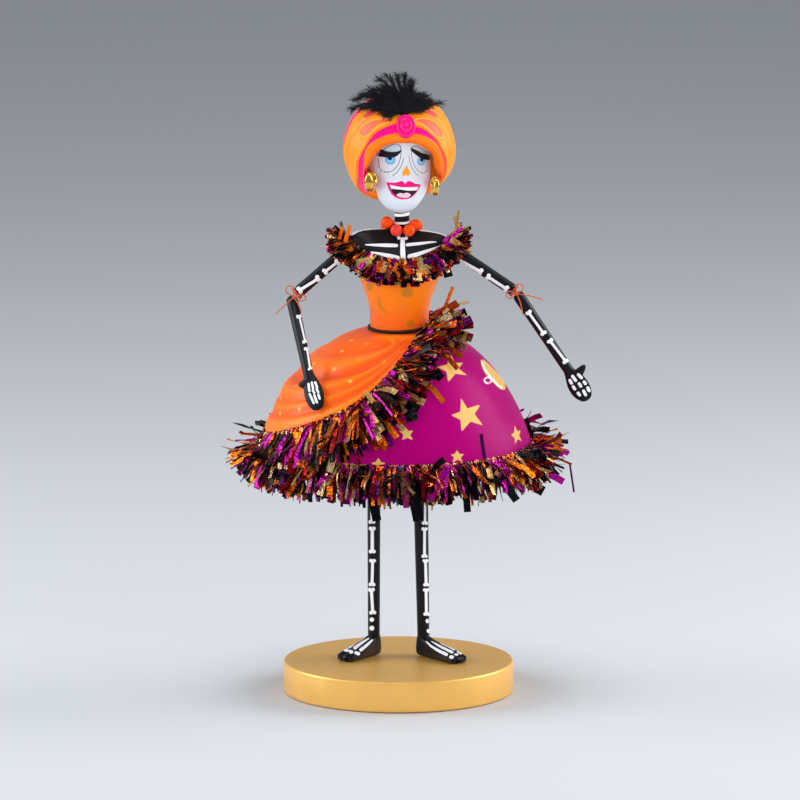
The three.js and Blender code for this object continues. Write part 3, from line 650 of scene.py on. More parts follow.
class DOLL_OT_stand(bpy.types.Operator):
    """Round stand with softened rims"""

    bl_idname = "doll.stand"
    bl_label = "Stand"

    def execute(self, context):
        bm = bmesh.new()
        radius = STAND_RADIUS
        made = bmesh.ops.create_cone(
            bm, cap_ends=True, segments=180, radius1=radius, radius2=radius, depth=STAND_HEIGHT
        )
        bmesh.ops.translate(bm, vec=(0, 0, STAND_HEIGHT / 2), verts=made["verts"])
        rims = [e for e in bm.edges if abs(e.verts[0].co.z - e.verts[1].co.z) < 1e-6]
        bmesh.ops.bevel(
            bm, geom=rims, offset=RIM_ROUNDING, segments=4, profile=0.5, affect="EDGES", material=-1
        )
        caps = [f for f in bm.faces if len(f.verts) > 100]
        bmesh.ops.inset_individual(bm, faces=caps, thickness=0.8, depth=0)
        gold = Finish("stand_gold", context.scene.doll_colours.gold, 0.4, 0.5)
        gold.mottle(60, 0.04, 5).mottle(700, 0.04, 2).rough(1500, 3, 0.1, 0.12)
        finish("stand", bm, [gold.done()], ["base"])
        return {"FINISHED"}


def leg_rings(side):
    """Rings of a leg and foot: middle and half length, half width, squareness, way to the toes."""
    hip = Vector((*side["hip"], HIP_Z))
    ankle = Vector((*side["ankle"], 30.0))
    rings = []
    heights = [HIP_Z - 0.2 * k * k for k in range(5)] + list(np.linspace(238, 152, 12))
    heights += list(np.linspace(151, SOLE_Z + INSTEP[1], 180))
    for height in heights:
        share = (height - ankle.z) / (HIP_Z - ankle.z)
        radius = ball_end(ANKLE_RADIUS + (side["hip_radius"] - ANKLE_RADIUS) * share, HIP_Z - height)
        rings.append((ankle.lerp(hip, share), (0, height), (radius, 0), radius, 1.0, 0.0))
    foot = rings[-1][0]
    # Heel: the rings swing from level to upright about the instep
    pivot = np.array((INSTEP[0], SOLE_Z + INSTEP[1]))
    for step in range(1, 27):
        swing = math.pi / 2 * step / 26
        back = (INSTEP[0] * 2 + 0.4) / max(math.cos(swing), 1e-6)
        bottom = INSTEP[1] / max(math.sin(swing), 1e-6)
        reach = (back**-8 + bottom**-8) ** (-1 / 8)
        far = pivot - reach * np.array((math.cos(swing), math.sin(swing)))
        square = 1 - 0.5 * math.sin(swing)
        wide = 4.3 + 0.4 * math.sin(swing)
        rings.append((foot, tuple((pivot + far) / 2), tuple((pivot - far) / 2), wide, square, 0.0))
    toe = side["length"] - 6.6
    for step in range(1, 71):
        share = INSTEP[0] / toe + (1 - INSTEP[0] / toe) * step / 70
        top, wide = along(FOOT, share, 1), along(FOOT, share, 2)
        rings.append((foot, (toe * share, SOLE_Z + top / 2), (0, top / 2), wide, 0.5, share))
    top, wide = FOOT[-1][1:]
    for step in range(1, 9):
        roll = math.pi / 2 * step / 8
        less = TOE_ROUNDING * (1 - math.cos(roll))
        middle = (toe + TOE_ROUNDING * math.sin(roll), SOLE_Z + (top - less * 0.6) / 2)
        rings.append((foot, middle, (0, top / 2 - less * 0.7), wide - less, 0.5, 1.0))
    for shrink in (0.6, 0.2, 0.0):
        foot, middle, half, wide, square, share = rings[-1]
        rings.append((foot, middle, (0, half[1] * shrink), wide * shrink, square, share))
    return rings


class DOLL_OT_legs(bpy.types.Operator):
    """Black legs and feet with bones painted on the front"""

    bl_idname = "doll.legs"
    bl_label = "Legs"

    def execute(self, context):
        colours = context.scene.doll_colours
        for name, side in LEGS.items():
            bm = bmesh.new()
            self.build(bm, side)
            black = painted("leg_black_" + name, colours.black, 0.42, 0.15).shape("bones", colours.bone, 0.07)
            piece = finish(name + "_leg_carving", bm, [black.done()], [name + "_leg"])
            bones = getattr(self, name + "_bones")(seen(spots_of(piece)))
            paint(piece, "bones", np.where(facing(piece), bones, 5))
        return {"FINISHED"}

    def build(self, bm, side):
        rings = leg_rings(side)
        splay = math.radians(side["splay"])
        forward = Vector((math.sin(splay), -math.cos(splay), 0))
        sideways = Vector((-forward.y, forward.x, 0))

        def place(across, down):
            centre, middle, half, wide, square, toes = rings[round(down * (len(rings) - 1))]
            round_ring = (math.cos(across * TURN), math.sin(across * TURN))
            lengthways, widthways = (math.copysign(abs(v) ** square, v) for v in round_ring)
            ahead = middle[0] + half[0] * lengthways
            height = middle[1] + half[1] * lengthways
            if toes > 0.7:
                # Shallow notches part the toes
                notch = max(math.exp(-(((widthways - gap) / 0.13) ** 2)) for gap in (-0.62, -0.22, 0.15, 0.5))
                much = ((toes - 0.7) / 0.3) ** 2 * notch
                ahead -= 1.1 * much + 1.6 * widthways**4 * ((toes - 0.7) / 0.3)
                height -= 0.5 * much * max(0.0, lengthways)
            return Vector((centre.x, centre.y, height)) + forward * ahead + sideways * widthways * wide

        bend(bm, 96, len(rings) - 1, place)

    def right_bones(self, p):
        return np.min([
            bone(p, (-19.2, 150), (-18.6, 118.6), 0.95, 1.35),
            bone(p, (-18.4, 117), (-18.4, 97.4), 1.15, 1.35),
            bone(p, (-18.1, 93.9), (-18.6, 73.9), 1, 1.3), bone(p, (-19.1, 73.2), (-18, 53.7), 1.05, 1.35),
            disc(p, (-18.7, 50.2), 1.6), disc(p, (-18.7, 44.1), 1.75),
            line(p, [(-28.4, 35.1), (-31.8, 32.9), (-34.6, 30.8)], 0.75, 1.1, 1.2),
            line(p, [(-20.9, 36.8), (-26.3, 33.3), (-30.6, 30)], 0.5, 0.95, 1.2),
            line(p, [(-18.4, 35.6), (-22.1, 32.1), (-26.4, 28.6)], 0.6, 0.95, 1.15),
            disc(p, (-36.8, 28.5), 1.8, 0.72), disc(p, (-33.3, 27.2), 1.55, 0.9),
            capsule(p, (-29.9, 26.5), (-28.1, 25.8), 1.15),
        ], axis=0)

    def left_bones(self, p):
        return np.min([
            bone(p, (18.9, 150), (18.5, 117.9), 0.75, 1.2), bone(p, (18.3, 116.5), (18.2, 94.2), 0.95, 1.2),
            bone(p, (18.9, 93.7), (19.4, 73.9), 0.95, 1.15), bone(p, (19.3, 72.9), (19.6, 52.8), 0.95, 1.2),
            disc(p, (20.2, 49.2), 1.2, 1.25), disc(p, (20.9, 42.1), 1.15, 1.25),
            line(p, [(19.5, 34.5), (22.8, 31.3), (27.7, 28.2), (33.6, 25.3)], 0.4, 0.75, 1, 1.15),
            line(p, [(23.2, 34.7), (29.1, 31.1), (37.7, 26.8)], 0.35, 0.8, 1),
            line(p, [(29.8, 33.3), (34.7, 31.3), (39.2, 28.9)], 0.45, 0.7, 0.75),
            disc(p, (37.2, 23.4), 1.7, 0.78), disc(p, (40.6, 25.2), 1.4, 0.72),
            capsule(p, (41.6, 27.5), (43.8, 26), 0.75),
        ], axis=0)


class DOLL_OT_skirt(bpy.types.Operator):
    """Magenta dome with gold stars, hollow and open below"""

    bl_idname = "doll.skirt"
    bl_label = "Skirt"

    def execute(self, context):
        colours = context.scene.doll_colours
        top = tilt_at_radius(CROWN_RADIUS)
        down_rows, lip_rows, in_rows = 110, 4, 8
        rows = down_rows + lip_rows + in_rows

        def place(across, down):
            turn = closer_in_front(across, 0.055)
            row = round(down * rows)
            if row == 0:
                return SKIRT_AXIS + Vector((0, 0, HEM_Z + DOME_HEIGHT - 0.4))
            if row <= down_rows:
                return dome(turn, top + (math.pi / 2 - top) * (row - 1) / (down_rows - 1))
            inner = row - down_rows
            if inner <= lip_rows:
                roll = math.pi * inner / lip_rows
                radius = HEM_RADIUS - SKIRT_WALL / 2 + SKIRT_WALL / 2 * math.cos(roll)
                height = HEM_Z + 0.2 - 0.2 * math.sin(roll)
                return SKIRT_AXIS + Vector((radius * math.cos(turn), radius * math.sin(turn), height))
            tilt = math.pi / 2 * (1 - (inner - lip_rows) / in_rows)
            return dome(turn, tilt, 0, SKIRT_WALL)

        bm = bmesh.new()
        bend(bm, 480, rows, place)
        skin = painted("skirt_magenta", colours.magenta, 0.36, 0.05, 0.05, 0.04)
        # Gold stars, then white paint, part of it a painted highlight on the cup
        skin.shape("stars", colours.star, 0.12).shape("white", (252, 240, 232), 0.4)
        # The inside of the dome is painted near black: painted shade under the skirt
        skin.wash("inside", (0.012, 0.01, 0.014, 1), 0.4, 0.6, 1.0)
        piece = finish("skirt_dome", bm, [skin.done()], ["skirt"])
        spots = spots_of(piece)
        # Spots inside the dome's wall take the painted shade
        paint(piece, "inside", np.where(dome_level(spots, -SKIRT_WALL / 2)[3] < 1, 1.0, 0.0))
        front = facing(piece, 0.0)
        flat = seen(spots)
        shown = np.min([polygon(flat, star) for star in self.STARS], axis=0)
        paint(piece, "stars", np.where(front, shown, self.rear_stars(spots)))
        # White paint: a ring on the cup, and a painted highlight along the cup's lit edge
        white = np.minimum(line(flat, self.CUP_PAINTED_HIGHLIGHT, 0.5), np.abs(disc(flat, (62.6, 221.2), 2.4, 0.9)) - 0.5)
        paint(piece, "white", np.where(front, white, 9))
        return {"FINISHED"}

    # Stars and a cup, as seen from the front, and a white stroke along the cup's lit edge that is a painted
    # highlight
    CUP = (
        (57.4, 235.6), (59.8, 236), (63.8, 232.3), (69.4, 226.2), (73.5, 221.3), (75, 217.2), (74.7, 214.7),
        (72.7, 214.4), (70.3, 215.6), (65.4, 220.5), (60.6, 226.2), (58.2, 231.1),
    )
    CUP_PAINTED_HIGHLIGHT = ((58.6, 234), (60.2, 229.4), (64.4, 223.6), (69.5, 217.8), (72.6, 216))
    STARS = (
        ((43.7, 208.6), (48.3, 201.1), (57.8, 204.3), (53.2, 197.2), (59.2, 189), (50.4, 191.8),
         (44.1, 184.5),
         (43.4, 193.1), (36.6, 196.3), (43.3, 198.8)),
        ((45.4, 234), (42, 229.6), (48.1, 224.8), (39.9, 225.9), (34.8, 219.9), (33.6, 227.5), (26.9, 230.7),
         (33.9, 232.5), (36.7, 240), (39.5, 233.5)),
        ((81.2, 189.1), (83.3, 184.8), (85.6, 185.6), (84.5, 181.8), (86.3, 177.8), (83.4, 179.3),
         (81.6, 175.3),
         (81.4, 180.1), (78.8, 182.3), (81.1, 184.1)),
        ((41, 171.6), (42.4, 168.8), (46, 168.5), (43.5, 166.1), (45.1, 162.8), (41.5, 164.6), (37.6, 162.4),
         (38.9, 166.3), (36.6, 168.1), (39.7, 168.9)),
        ((4.9, 188.3), (6.7, 185.1), (10.6, 185.5), (8.1, 182.3), (10.2, 178.6), (6.2, 180.2), (2.5, 178.5),
         (3.4, 182.6), (0.3, 185.1), (3.9, 185.2)),
        ((-14, 166.1), (-12.5, 162.9), (-9.1, 162.2), (-11.9, 160.1), (-11.2, 156.5), (-14.2, 158.4),
         (-17.2, 156.5), (-16.5, 160.1), (-18.9, 162.2), (-15.8, 163.1)),
        CUP,
    )
    # Stars behind: centre, radius and turn
    REAR_STARS = (
        ((90, 30, 192), 8.5, 20), ((60, 66, 205), 12, -8), ((22, 90, 190), 7, 15), ((-14, 72, 217), 10, 4),
        ((-52, 76, 189), 8, -12), ((30, 52, 236), 8, 10), ((72, 24, 226), 6.5, -16),
    )

    def rear_stars(self, spots):
        """Millimetres outside the stars behind, which lie flat on the dome."""
        values = np.full(len(spots), 9.0)
        for centre, radius, turn in self.REAR_STARS:
            round_it = math.atan2(centre[1] - SKIRT_AXIS.y, centre[0] - SKIRT_AXIS.x)
            tilt = tilt_at_height(centre[2])
            here, lower = dome(round_it, tilt), dome(round_it, tilt + 0.02)
            up = np.array((here - lower).normalized())
            across = np.array((-math.sin(round_it), math.cos(round_it), 0))
            offset = spots - np.array(here)
            flat = np.column_stack([offset @ across, offset @ up])
            near = (np.abs(offset @ np.cross(across, up)) < 14) & (np.abs(flat) < radius + 3).all(axis=1)
            values[near] = np.minimum(values[near], polygon(flat[near], star(radius, turn)))
        return values


class DOLL_OT_overskirt(bpy.types.Operator):
    """Orange overskirt with carved folds and gold dots"""

    bl_idname = "doll.overskirt"
    bl_label = "Overskirt"

    # Dots as seen from the front, bright ones and ones painted darker as painted shade, and where those
    # behind lie
    BRIGHT_DOTS = (
        (-32.9, 249.9), (-40, 241.9), (-58.8, 233), (-45, 229.1), (-33.6, 220.7), (-52.6, 210),
        (-71.7, 217.2), (-82.6, 208.2), (-69.1, 200.5), (-82.8, 197.3),
    )
    SHADED_DOTS = ((-22.4, 247.4), (-3.8, 248.9), (-27.6, 236.4), (-10.1, 233.9))
    REAR_DOTS = (
        (-40, 34, 240), (-60, 40, 224), (-48, 58, 212), (-74, 34, 208), (-20, 48, 237), (-8, 30, 248),
        (-80, 18, 210), (-30, 72, 206), (-8, 62, 226), (-62, 60, 196), (-86, 30, 194),
    )

    def rise(self, degrees, share, reach):
        """How far the cloth lies off the skirt: close to it high up on the side, full below."""
        plain = OVERSKIRT_LIFT * float(smooth(share * reach, -0.03, 0.12))
        side = float(smooth(degrees, 75, 35))
        return plain + (along(SIDE_RISE, share) - plain) * side

    def execute(self, context):
        colours = context.scene.doll_colours
        top = tilt_at_radius(CROWN_RADIUS)
        rows, lip = 130, 4

        def place(across, down):
            # Columns stand closer in front
            turn = math.pi + TURN * (across - 0.5 - 0.03 * math.sin(TURN * across))
            degrees = math.degrees(abs(turn - math.pi))
            edge = tilt_at_height(along(OVERSKIRT_EDGE, degrees))
            row = round(down * (rows + lip + 2))
            if row <= rows:
                share = row / rows
                strength = float(smooth(edge - top, 0.02, 0.75))
                strength *= float(smooth(share, 0, 0.35))
                fold = FOLD_DEPTH * strength * along(FOLDS, share + 0.018 * math.sin(2.6 * turn))
                lift = self.rise(degrees, share, edge - top) + fold * 0.8
                return dome(turn, top + (edge - top) * share, max(LEAST_LIFT, lift))
            if row <= rows + lip:
                roll = (row - rows) / lip * math.pi / 2
                reach = LIP_ROUNDING * math.sin(roll) / HEM_RADIUS
                return dome(turn, edge + reach, OVERSKIRT_LIFT - LIP_ROUNDING + LIP_ROUNDING * math.cos(roll))
            if row == rows + lip + 1:
                return dome(turn, edge + LIP_ROUNDING / HEM_RADIUS, 0.12)
            return dome(turn, edge - 2.5 / HEM_RADIUS, 0.12)

        bm = bmesh.new()
        bend(bm, 380, rows + lip + 2, place)
        bmesh.ops.reverse_faces(bm, faces=bm.faces)
        skin = painted("overskirt_orange", colours.overskirt, 0.36, 0.05, 0.06)
        # Painted highlight on the ridges of the folds and painted shade in their valleys
        skin.wash("fold", (255, 128, 32), 0.0, 1.2, 0.75).wash("fold", (206, 66, 8), 0.0, -1.3, 0.85)
        # Gold dots, and the same gold painted darker as painted shade
        skin.wash("dots", (252, 176, 70), 0.5, -0.3, 0.85).wash("dots_in_painted_shade", (206, 128, 34), 0.5, -0.5, 0.8)
        piece = finish("overskirt_drape", bm, [skin.done()], ["skirt"], recalculate=False)
        spots = spots_of(piece)
        flat = seen(spots)
        front = facing(piece, 0.0)
        dots = np.min([np.linalg.norm(spots - np.array(d), axis=1) for d in self.REAR_DOTS], axis=0) - 2.6
        for dot in self.BRIGHT_DOTS:
            # Each dot is round on the cloth, about the spot where it is seen
            off = np.hypot(*(flat - np.array(dot)).T) + np.where(front, 0, 99)
            dots = np.minimum(dots, np.linalg.norm(spots - spots[np.argmin(off)], axis=1) - 1.35)
        paint(piece, "dots", dots)
        shaded_dots = np.min([disc(flat, d, 1.5) for d in self.SHADED_DOTS], axis=0)
        paint(piece, "dots_in_painted_shade", np.where(front, shaded_dots, 9))
        # How far each spot stands over the smooth cloth tells ridges from valleys, for the painted highlights
        # on the ridges and the painted shade in the valleys
        offset, radius, height, level = dome_level(spots)
        off = np.hypot(radius, height) * (1 - level ** -0.5)
        for index, (x, y, z) in enumerate(offset):
            degrees = math.degrees(abs(math.atan2(y, -x)))
            edge = tilt_at_height(along(OVERSKIRT_EDGE, degrees))
            share = min(1.0, max(0.0, (tilt_at_height(z) - top) / (edge - top)))
            off[index] -= self.rise(degrees, share, edge - top)
        paint(piece, "fold", off)
        return {"FINISHED"}


class DOLL_OT_torso(bpy.types.Operator):
    """Bodice, black chest with painted bones, and neck"""

    bl_idname = "doll.torso"
    bl_label = "Torso"

    def execute(self, context):
        colours = context.scene.doll_colours
        low, high = TORSO[0][0], TORSO[-1][0]
        spacing = list(np.linspace(low, 302, 60)) + list(np.linspace(302.4, high, 130))
        rows = len(spacing) + 1

        def place(across, down):
            row = round(down * rows)
            height = spacing[min(max(row - 1, 0), len(spacing) - 1)]
            angle = closer_in_front(across, 0.05)
            wide, deep = (along(TORSO, height, k) for k in (1, 2))
            shift = along(TORSO, height, 3)
            if row in (0, rows):
                wide = deep = 0.0
            x = BODY.x + shift + wide * math.cos(angle)
            # The right shoulder is carved a little higher
            lift = 1.9 * float(smooth(height, 300, 318) * smooth(329 - height, 0, 4) * smooth(-x, -4, 22))
            return Vector((x, BODY.y + deep * math.sin(angle), height + lift))

        bm = bmesh.new()
        bend(bm, 280, rows, place)
        skin = painted("torso_paint", colours.bodice, 0.36, 0.06, 0.06)
        skin.wash("low", (238, 92, 22), 0, 1, 0.75).wash("motifs", (150, 112, 24), 0.8, -0.9, 0.6)
        skin.shape("chest", colours.black, 0.1).shape("bones", colours.bone, 0.08)
        piece = finish("torso_carving", bm, [skin.done()], ["torso"])
        spots = spots_of(piece)
        flat = seen(spots)
        upright = spots[:, [0, 2]]
        front = facing(piece, 0.0)
        paint(piece, "low", smooth(spots[:, 2], 282, 262))
        neckline = (
            (-37.5, 320.7), (-29, 315.7), (-21.4, 310.7), (-13, 307.4), (1, 303.8), (15, 306.8), (29, 312.4),
            (36, 320.7), (60, 324), (60, 380), (-60, 380), (-60, 324),
        )
        rear = ((-40, 321), (-30, 317), (-15, 314), (15, 314), (30, 317), (40, 321), (40, 360), (-40, 360))
        paint(piece, "chest", np.where(front, polygon(flat, neckline), polygon(upright, rear)))
        motifs = np.min([
            line(flat, ((-13.4, 281), (-13.6, 277), (-12.6, 273.4), (-10.1, 270.6), (-7.3, 269.2)),
                 0.5, 1, 1.2, 1, 0.4),
            disc(flat, (6.1, 283.6), 4.2, 0.8), disc(flat, (8.4, 261.6), 3, 0.8),
            disc(flat, (-20, 288.5), 2.2, 1.6), disc(flat, (27, 287), 1.6, 2.4),
            disc(flat, (-18.1, 270.8), 0.8),
        ], axis=0)
        paint(piece, "motifs", np.where(front, motifs, np.abs(disc(upright, (3, 284), 6)) - 0.3))
        bones = np.min([
            line(flat, ((-32.5, 325.4), (-29.0, 327.5), (-24.8, 328.7), (-18.5, 329.2), (-9, 329.6)),
                 1.0, 0.95, 0.8, 0.7, 0.6),
            line(flat, ((14.5, 328.1), (22.0, 327.3), (27.6, 326.4), (31.1, 325.4), (33.5, 324.3)),
                 0.45, 0.5, 0.65, 0.85, 0.95),
            line(flat, ((-1.5, 317.2), (-9.4, 317.4), (-18.5, 317.6), (-23.1, 317.7)), 1.2, 1.3, 0.75, 0.35),
            line(flat, ((6.2, 317.7), (15.0, 318.6), (22.0, 319.5), (26.2, 319.7)), 1.15, 1.05, 0.7, 0.4),
            line(flat, ((-0.6, 308.4), (-5.9, 309.7), (-12.9, 311.3), (-19.2, 312.5)), 1.5, 1.5, 1.0, 0.45),
            line(flat, ((7.9, 309.2), (15.0, 311.5), (22.0, 314.0), (29.0, 316.8)), 1.75, 1.35, 0.95, 0.4),
            line(flat, ((2.9, 321.6), (2.9, 314.0), (3.3, 306.6)), 1.5, 1.7, 1.75),
            disc(flat, (0.2, 322.6), 1.25), disc(flat, (5.3, 322.4), 1.25),
        ], axis=0)
        rings = np.minimum(
            np.abs(spots[:, 2] - 338.2 - 0.09 * (spots[:, 0] - 1.8)) - 1.05,
            np.abs(spots[:, 2] - 332.4 - 0.04 * (spots[:, 0] - 2.4)) - 0.85,
        )
        neck = spots[:, 2] > 330.2
        paint(piece, "bones", np.where(neck, rings, np.where(front, bones, 5)))
        return {"FINISHED"}


class DOLL_OT_waist_cord(bpy.types.Operator):
    """Black twisted cord round the waist"""

    bl_idname = "doll.waist_cord"
    bl_label = "Waist cord"

    def execute(self, context):
        bm = bmesh.new()
        twists, ring, strand_radius, lay = 54, 21.0, 0.95, 0.5
        for strand in (0, 0.5):
            def place(across, down):
                turn = down * TURN
                sweep = turn * twists + strand * TURN
                angle = across * TURN
                radius = ring + lay * math.cos(sweep)
                radius += strand_radius * math.cos(angle)
                # The cord rides a little higher at the left hip and lower in front
                height = 258.6 + 1.0 * math.cos(turn) + 0.7 * math.sin(turn) + lay * math.sin(sweep)
                height += strand_radius * math.sin(angle)
                return Vector((BODY.x + radius * math.cos(turn), BODY.y + radius * math.sin(turn), height))

            bend(bm, 6, 540, place)
        cord = Finish("cord_black", (0.014, 0.011, 0.012, 1), 0.6)
        material = cord.mottle(900, 0.3, 2).rough(2500, 2, 0.4, 0.2).done()
        finish("waist_cord_twist", bm, [material], ["waist_cord"])
        return {"FINISHED"}


def limb_frame(start, end, face):
    """Axis of a limb and the directions across it and out through its painted side."""
    axis = (Vector(end) - Vector(start)).normalized()
    across = axis.cross(Vector(face)).normalized()
    return axis, across, across.cross(axis).normalized()


class DOLL_OT_arms(bpy.types.Operator):
    """Black arms and mitten hands with bones painted on"""

    bl_idname = "doll.arms"
    bl_label = "Arms"

    def execute(self, context):
        colours = context.scene.doll_colours
        for name, arm in ARMS.items():
            halves = (("upper_arm", self.upper, ()), ("forearm", self.lower, [FINGER_BONES[name]]))
            for part, build, strokes in halves:
                bm = bmesh.new()
                build(bm, arm)
                node = name + "_" + part
                black = painted(part + "_black_" + name, colours.black, 0.42, 0.15)
                black.shape("bones", colours.bone, 0.07)
                piece = finish(node + "_carving", bm, [black.done()], [node])
                flat = seen(spots_of(piece))
                shapes = [bone(flat, *stroke) for stroke in ARM_BONES[node]]
                shapes += [capsule(flat, *ends, radius) for radius, fingers in strokes for ends in fingers]
                paint(piece, "bones", np.where(facing(piece, 0.05), np.min(shapes, axis=0), 5))
        return {"FINISHED"}

    def setback(self, arm):
        """How far each half stops short of the elbow, so that the domed ends clear each other."""
        elbow = Vector(arm["elbow"])
        bend_angle = (Vector(arm["shoulder"]) - elbow).angle(Vector(arm["wrist"]) - elbow)
        return (ARM_RADIUS + 0.18) / math.sin(bend_angle / 2) - ARM_RADIUS

    def upper(self, bm, arm):
        start, end = Vector(arm["shoulder"]), Vector(arm["elbow"])
        axis, across, out = limb_frame(start, end, arm["upper_face"])
        end = end - axis * self.setback(arm)
        length = (end - start).length

        def place(around, down):
            reach = length * down
            radius = min(ball_end(ARM_RADIUS, gap) for gap in (reach, length - reach))
            return start + axis * reach + turned(across, out, around * TURN) * radius

        bend(bm, 72, 130, place)

    def lower(self, bm, arm):
        elbow, wrist, tip = (Vector(arm[k]) for k in ("forearm_top", "wrist", "tip"))
        axis, across, out = limb_frame(elbow, wrist, arm["lower_face"])
        start = elbow + axis * self.setback(arm)
        length = (wrist - start).length
        hand = tip - wrist
        hand_across = Vector((0, -1, -0.2)).cross(hand).normalized()
        hand_out = hand_across.cross(hand).normalized()
        if hand_out.y > 0:
            hand_out.negate()
        thumb = hand_across * math.copysign(1, arm["thumb"])
        arm_rows, hand_rows = 120, 90
        # The ring starts on the same side on both, so that the skin doesn't twist at the wrist
        turn = math.atan2(hand_across.dot(out), hand_across.dot(across))
        direction = 1 if axis.dot(across.cross(out)) * hand.dot(hand_across.cross(hand_out)) > 0 else -1

        def place(around, down):
            row = round(down * (arm_rows + hand_rows))
            angle = around * TURN
            if row <= arm_rows:
                reach = length * (row / arm_rows) * 0.97
                radius = ball_end(ARM_RADIUS + (WRIST_RADIUS - ARM_RADIUS) * row / arm_rows, reach)
                return start + axis * reach + turned(across, out, angle) * radius
            share = (row - arm_rows) / hand_rows
            share = 1 - (1 - share) ** 1.3
            wide = 3.6 + (along(HAND, share, 1) - 3.6) * arm["palm"]
            thick = along(HAND, share, 2)
            if share > 0.93:
                close = math.sqrt(max(0.0, 1 - ((share - 0.93) / 0.07) ** 2))
                wide, thick = wide * close, thick * close
            swing = direction * (angle - turn)
            spot = wrist + hand * share + hand_across * wide * math.cos(swing)
            spot += hand_out * thick * math.sin(swing)
            side = spot - wrist - hand * share
            # The thumb swells out of the side of the hand
            far = Vector((share * hand.length - 0.27 * hand.length, 0.9 * side.dot(hand_out)))
            if side.dot(thumb) > 0 and far.length < THUMB_RADIUS:
                pull = (1 - (far.length / THUMB_RADIUS) ** 2) ** 0.75 * (abs(arm["thumb"]) - 3.6)
                ease = min(1, side.dot(thumb) / wide * 1.3)
                spot += (thumb * 0.94 - hand.normalized() * 0.34) * pull * ease
            return spot

        bend(bm, 84, arm_rows + hand_rows, place)


class DOLL_OT_elbow_bows(bpy.types.Operator):
    """Waxed thread tied in a bow round each elbow"""

    bl_idname = "doll.elbow_bows"
    bl_label = "Elbow bows"

    def execute(self, context):
        thread = Finish("thread_orange", context.scene.doll_colours.thread, 0.45)
        material = thread.mottle(1200, 0.25, 2).rough(3500, 2, 0.5, 0.15).done()
        for name, bow in BOWS.items():
            bm = bmesh.new()
            knot = Vector(bow["knot"])
            for vert in bmesh.ops.create_icosphere(bm, subdivisions=3, radius=1.3)["verts"]:
                vert.co *= 1 + 0.22 * noise.noise(vert.co * 1.4)
                vert.co += knot
            for degrees, away, long, wide in bow["loops"]:
                reach = turned(Vector((1, 0, 0)), UP, math.radians(degrees))
                across = Vector((-reach.z, 0, reach.x))
                # Each loop leaves the knot, goes round and comes back
                path = [knot]
                for k in range(31):
                    sweep = math.radians(-148 + 296 * k / 30)
                    out = Vector((0, -0.8 - 0.5 * math.sin(sweep), 0))
                    spot = knot + reach * (away + long * math.cos(sweep))
                    path.append(spot + across * wide * math.sin(sweep) + out)
                path.append(knot)
                tube(bm, path, THREAD_RADIUS)
            for tail in bow["tails"]:
                path = []
                for k in range(17):
                    sway = Vector((0.5, -0.4, 0.7)) * math.sin(math.pi * k / 16) * 0.9
                    path.append(knot + Vector(tail) * (k / 16) + sway)
                tube(bm, path, THREAD_RADIUS)
            arm = ARMS[name]
            # Two turns of thread go round the elbow behind the knot
            axis, across, out = limb_frame(arm["shoulder"], arm["elbow"], (0, -1, 0))
            for slip in (1.2, 2.3):
                centre = Vector(arm["elbow"]) - axis * slip
                turns = [turned(across, out, TURN * k / 40) for k in range(41)]
                tube(bm, [centre + way * (ARM_RADIUS + 0.35) for way in turns], 0.42)
            finish(name + "_elbow_thread", bm, [material], [name + "_elbow_bow"])
        return {"FINISHED"}


def tube(bm, path, radius):
    """Round thread along a path, with closed ends."""
    frames = []
    side = Vector((0.3, 0.2, 0.9))
    for k, spot in enumerate(path):
        heading = (path[min(k + 1, len(path) - 1)] - path[max(k - 1, 0)]).normalized()
        side = (side - heading * side.dot(heading)).normalized()
        frames.append((spot, side.copy(), heading.cross(side)))

    def place(across, down):
        row = round(down * (len(path) + 1)) - 1
        spot, first, second = frames[min(max(row, 0), len(path) - 1)]
        return spot + turned(first, second, across * TURN) * (0 if row in (-1, len(path)) else radius)

    bend(bm, 8, len(path) + 1, place)


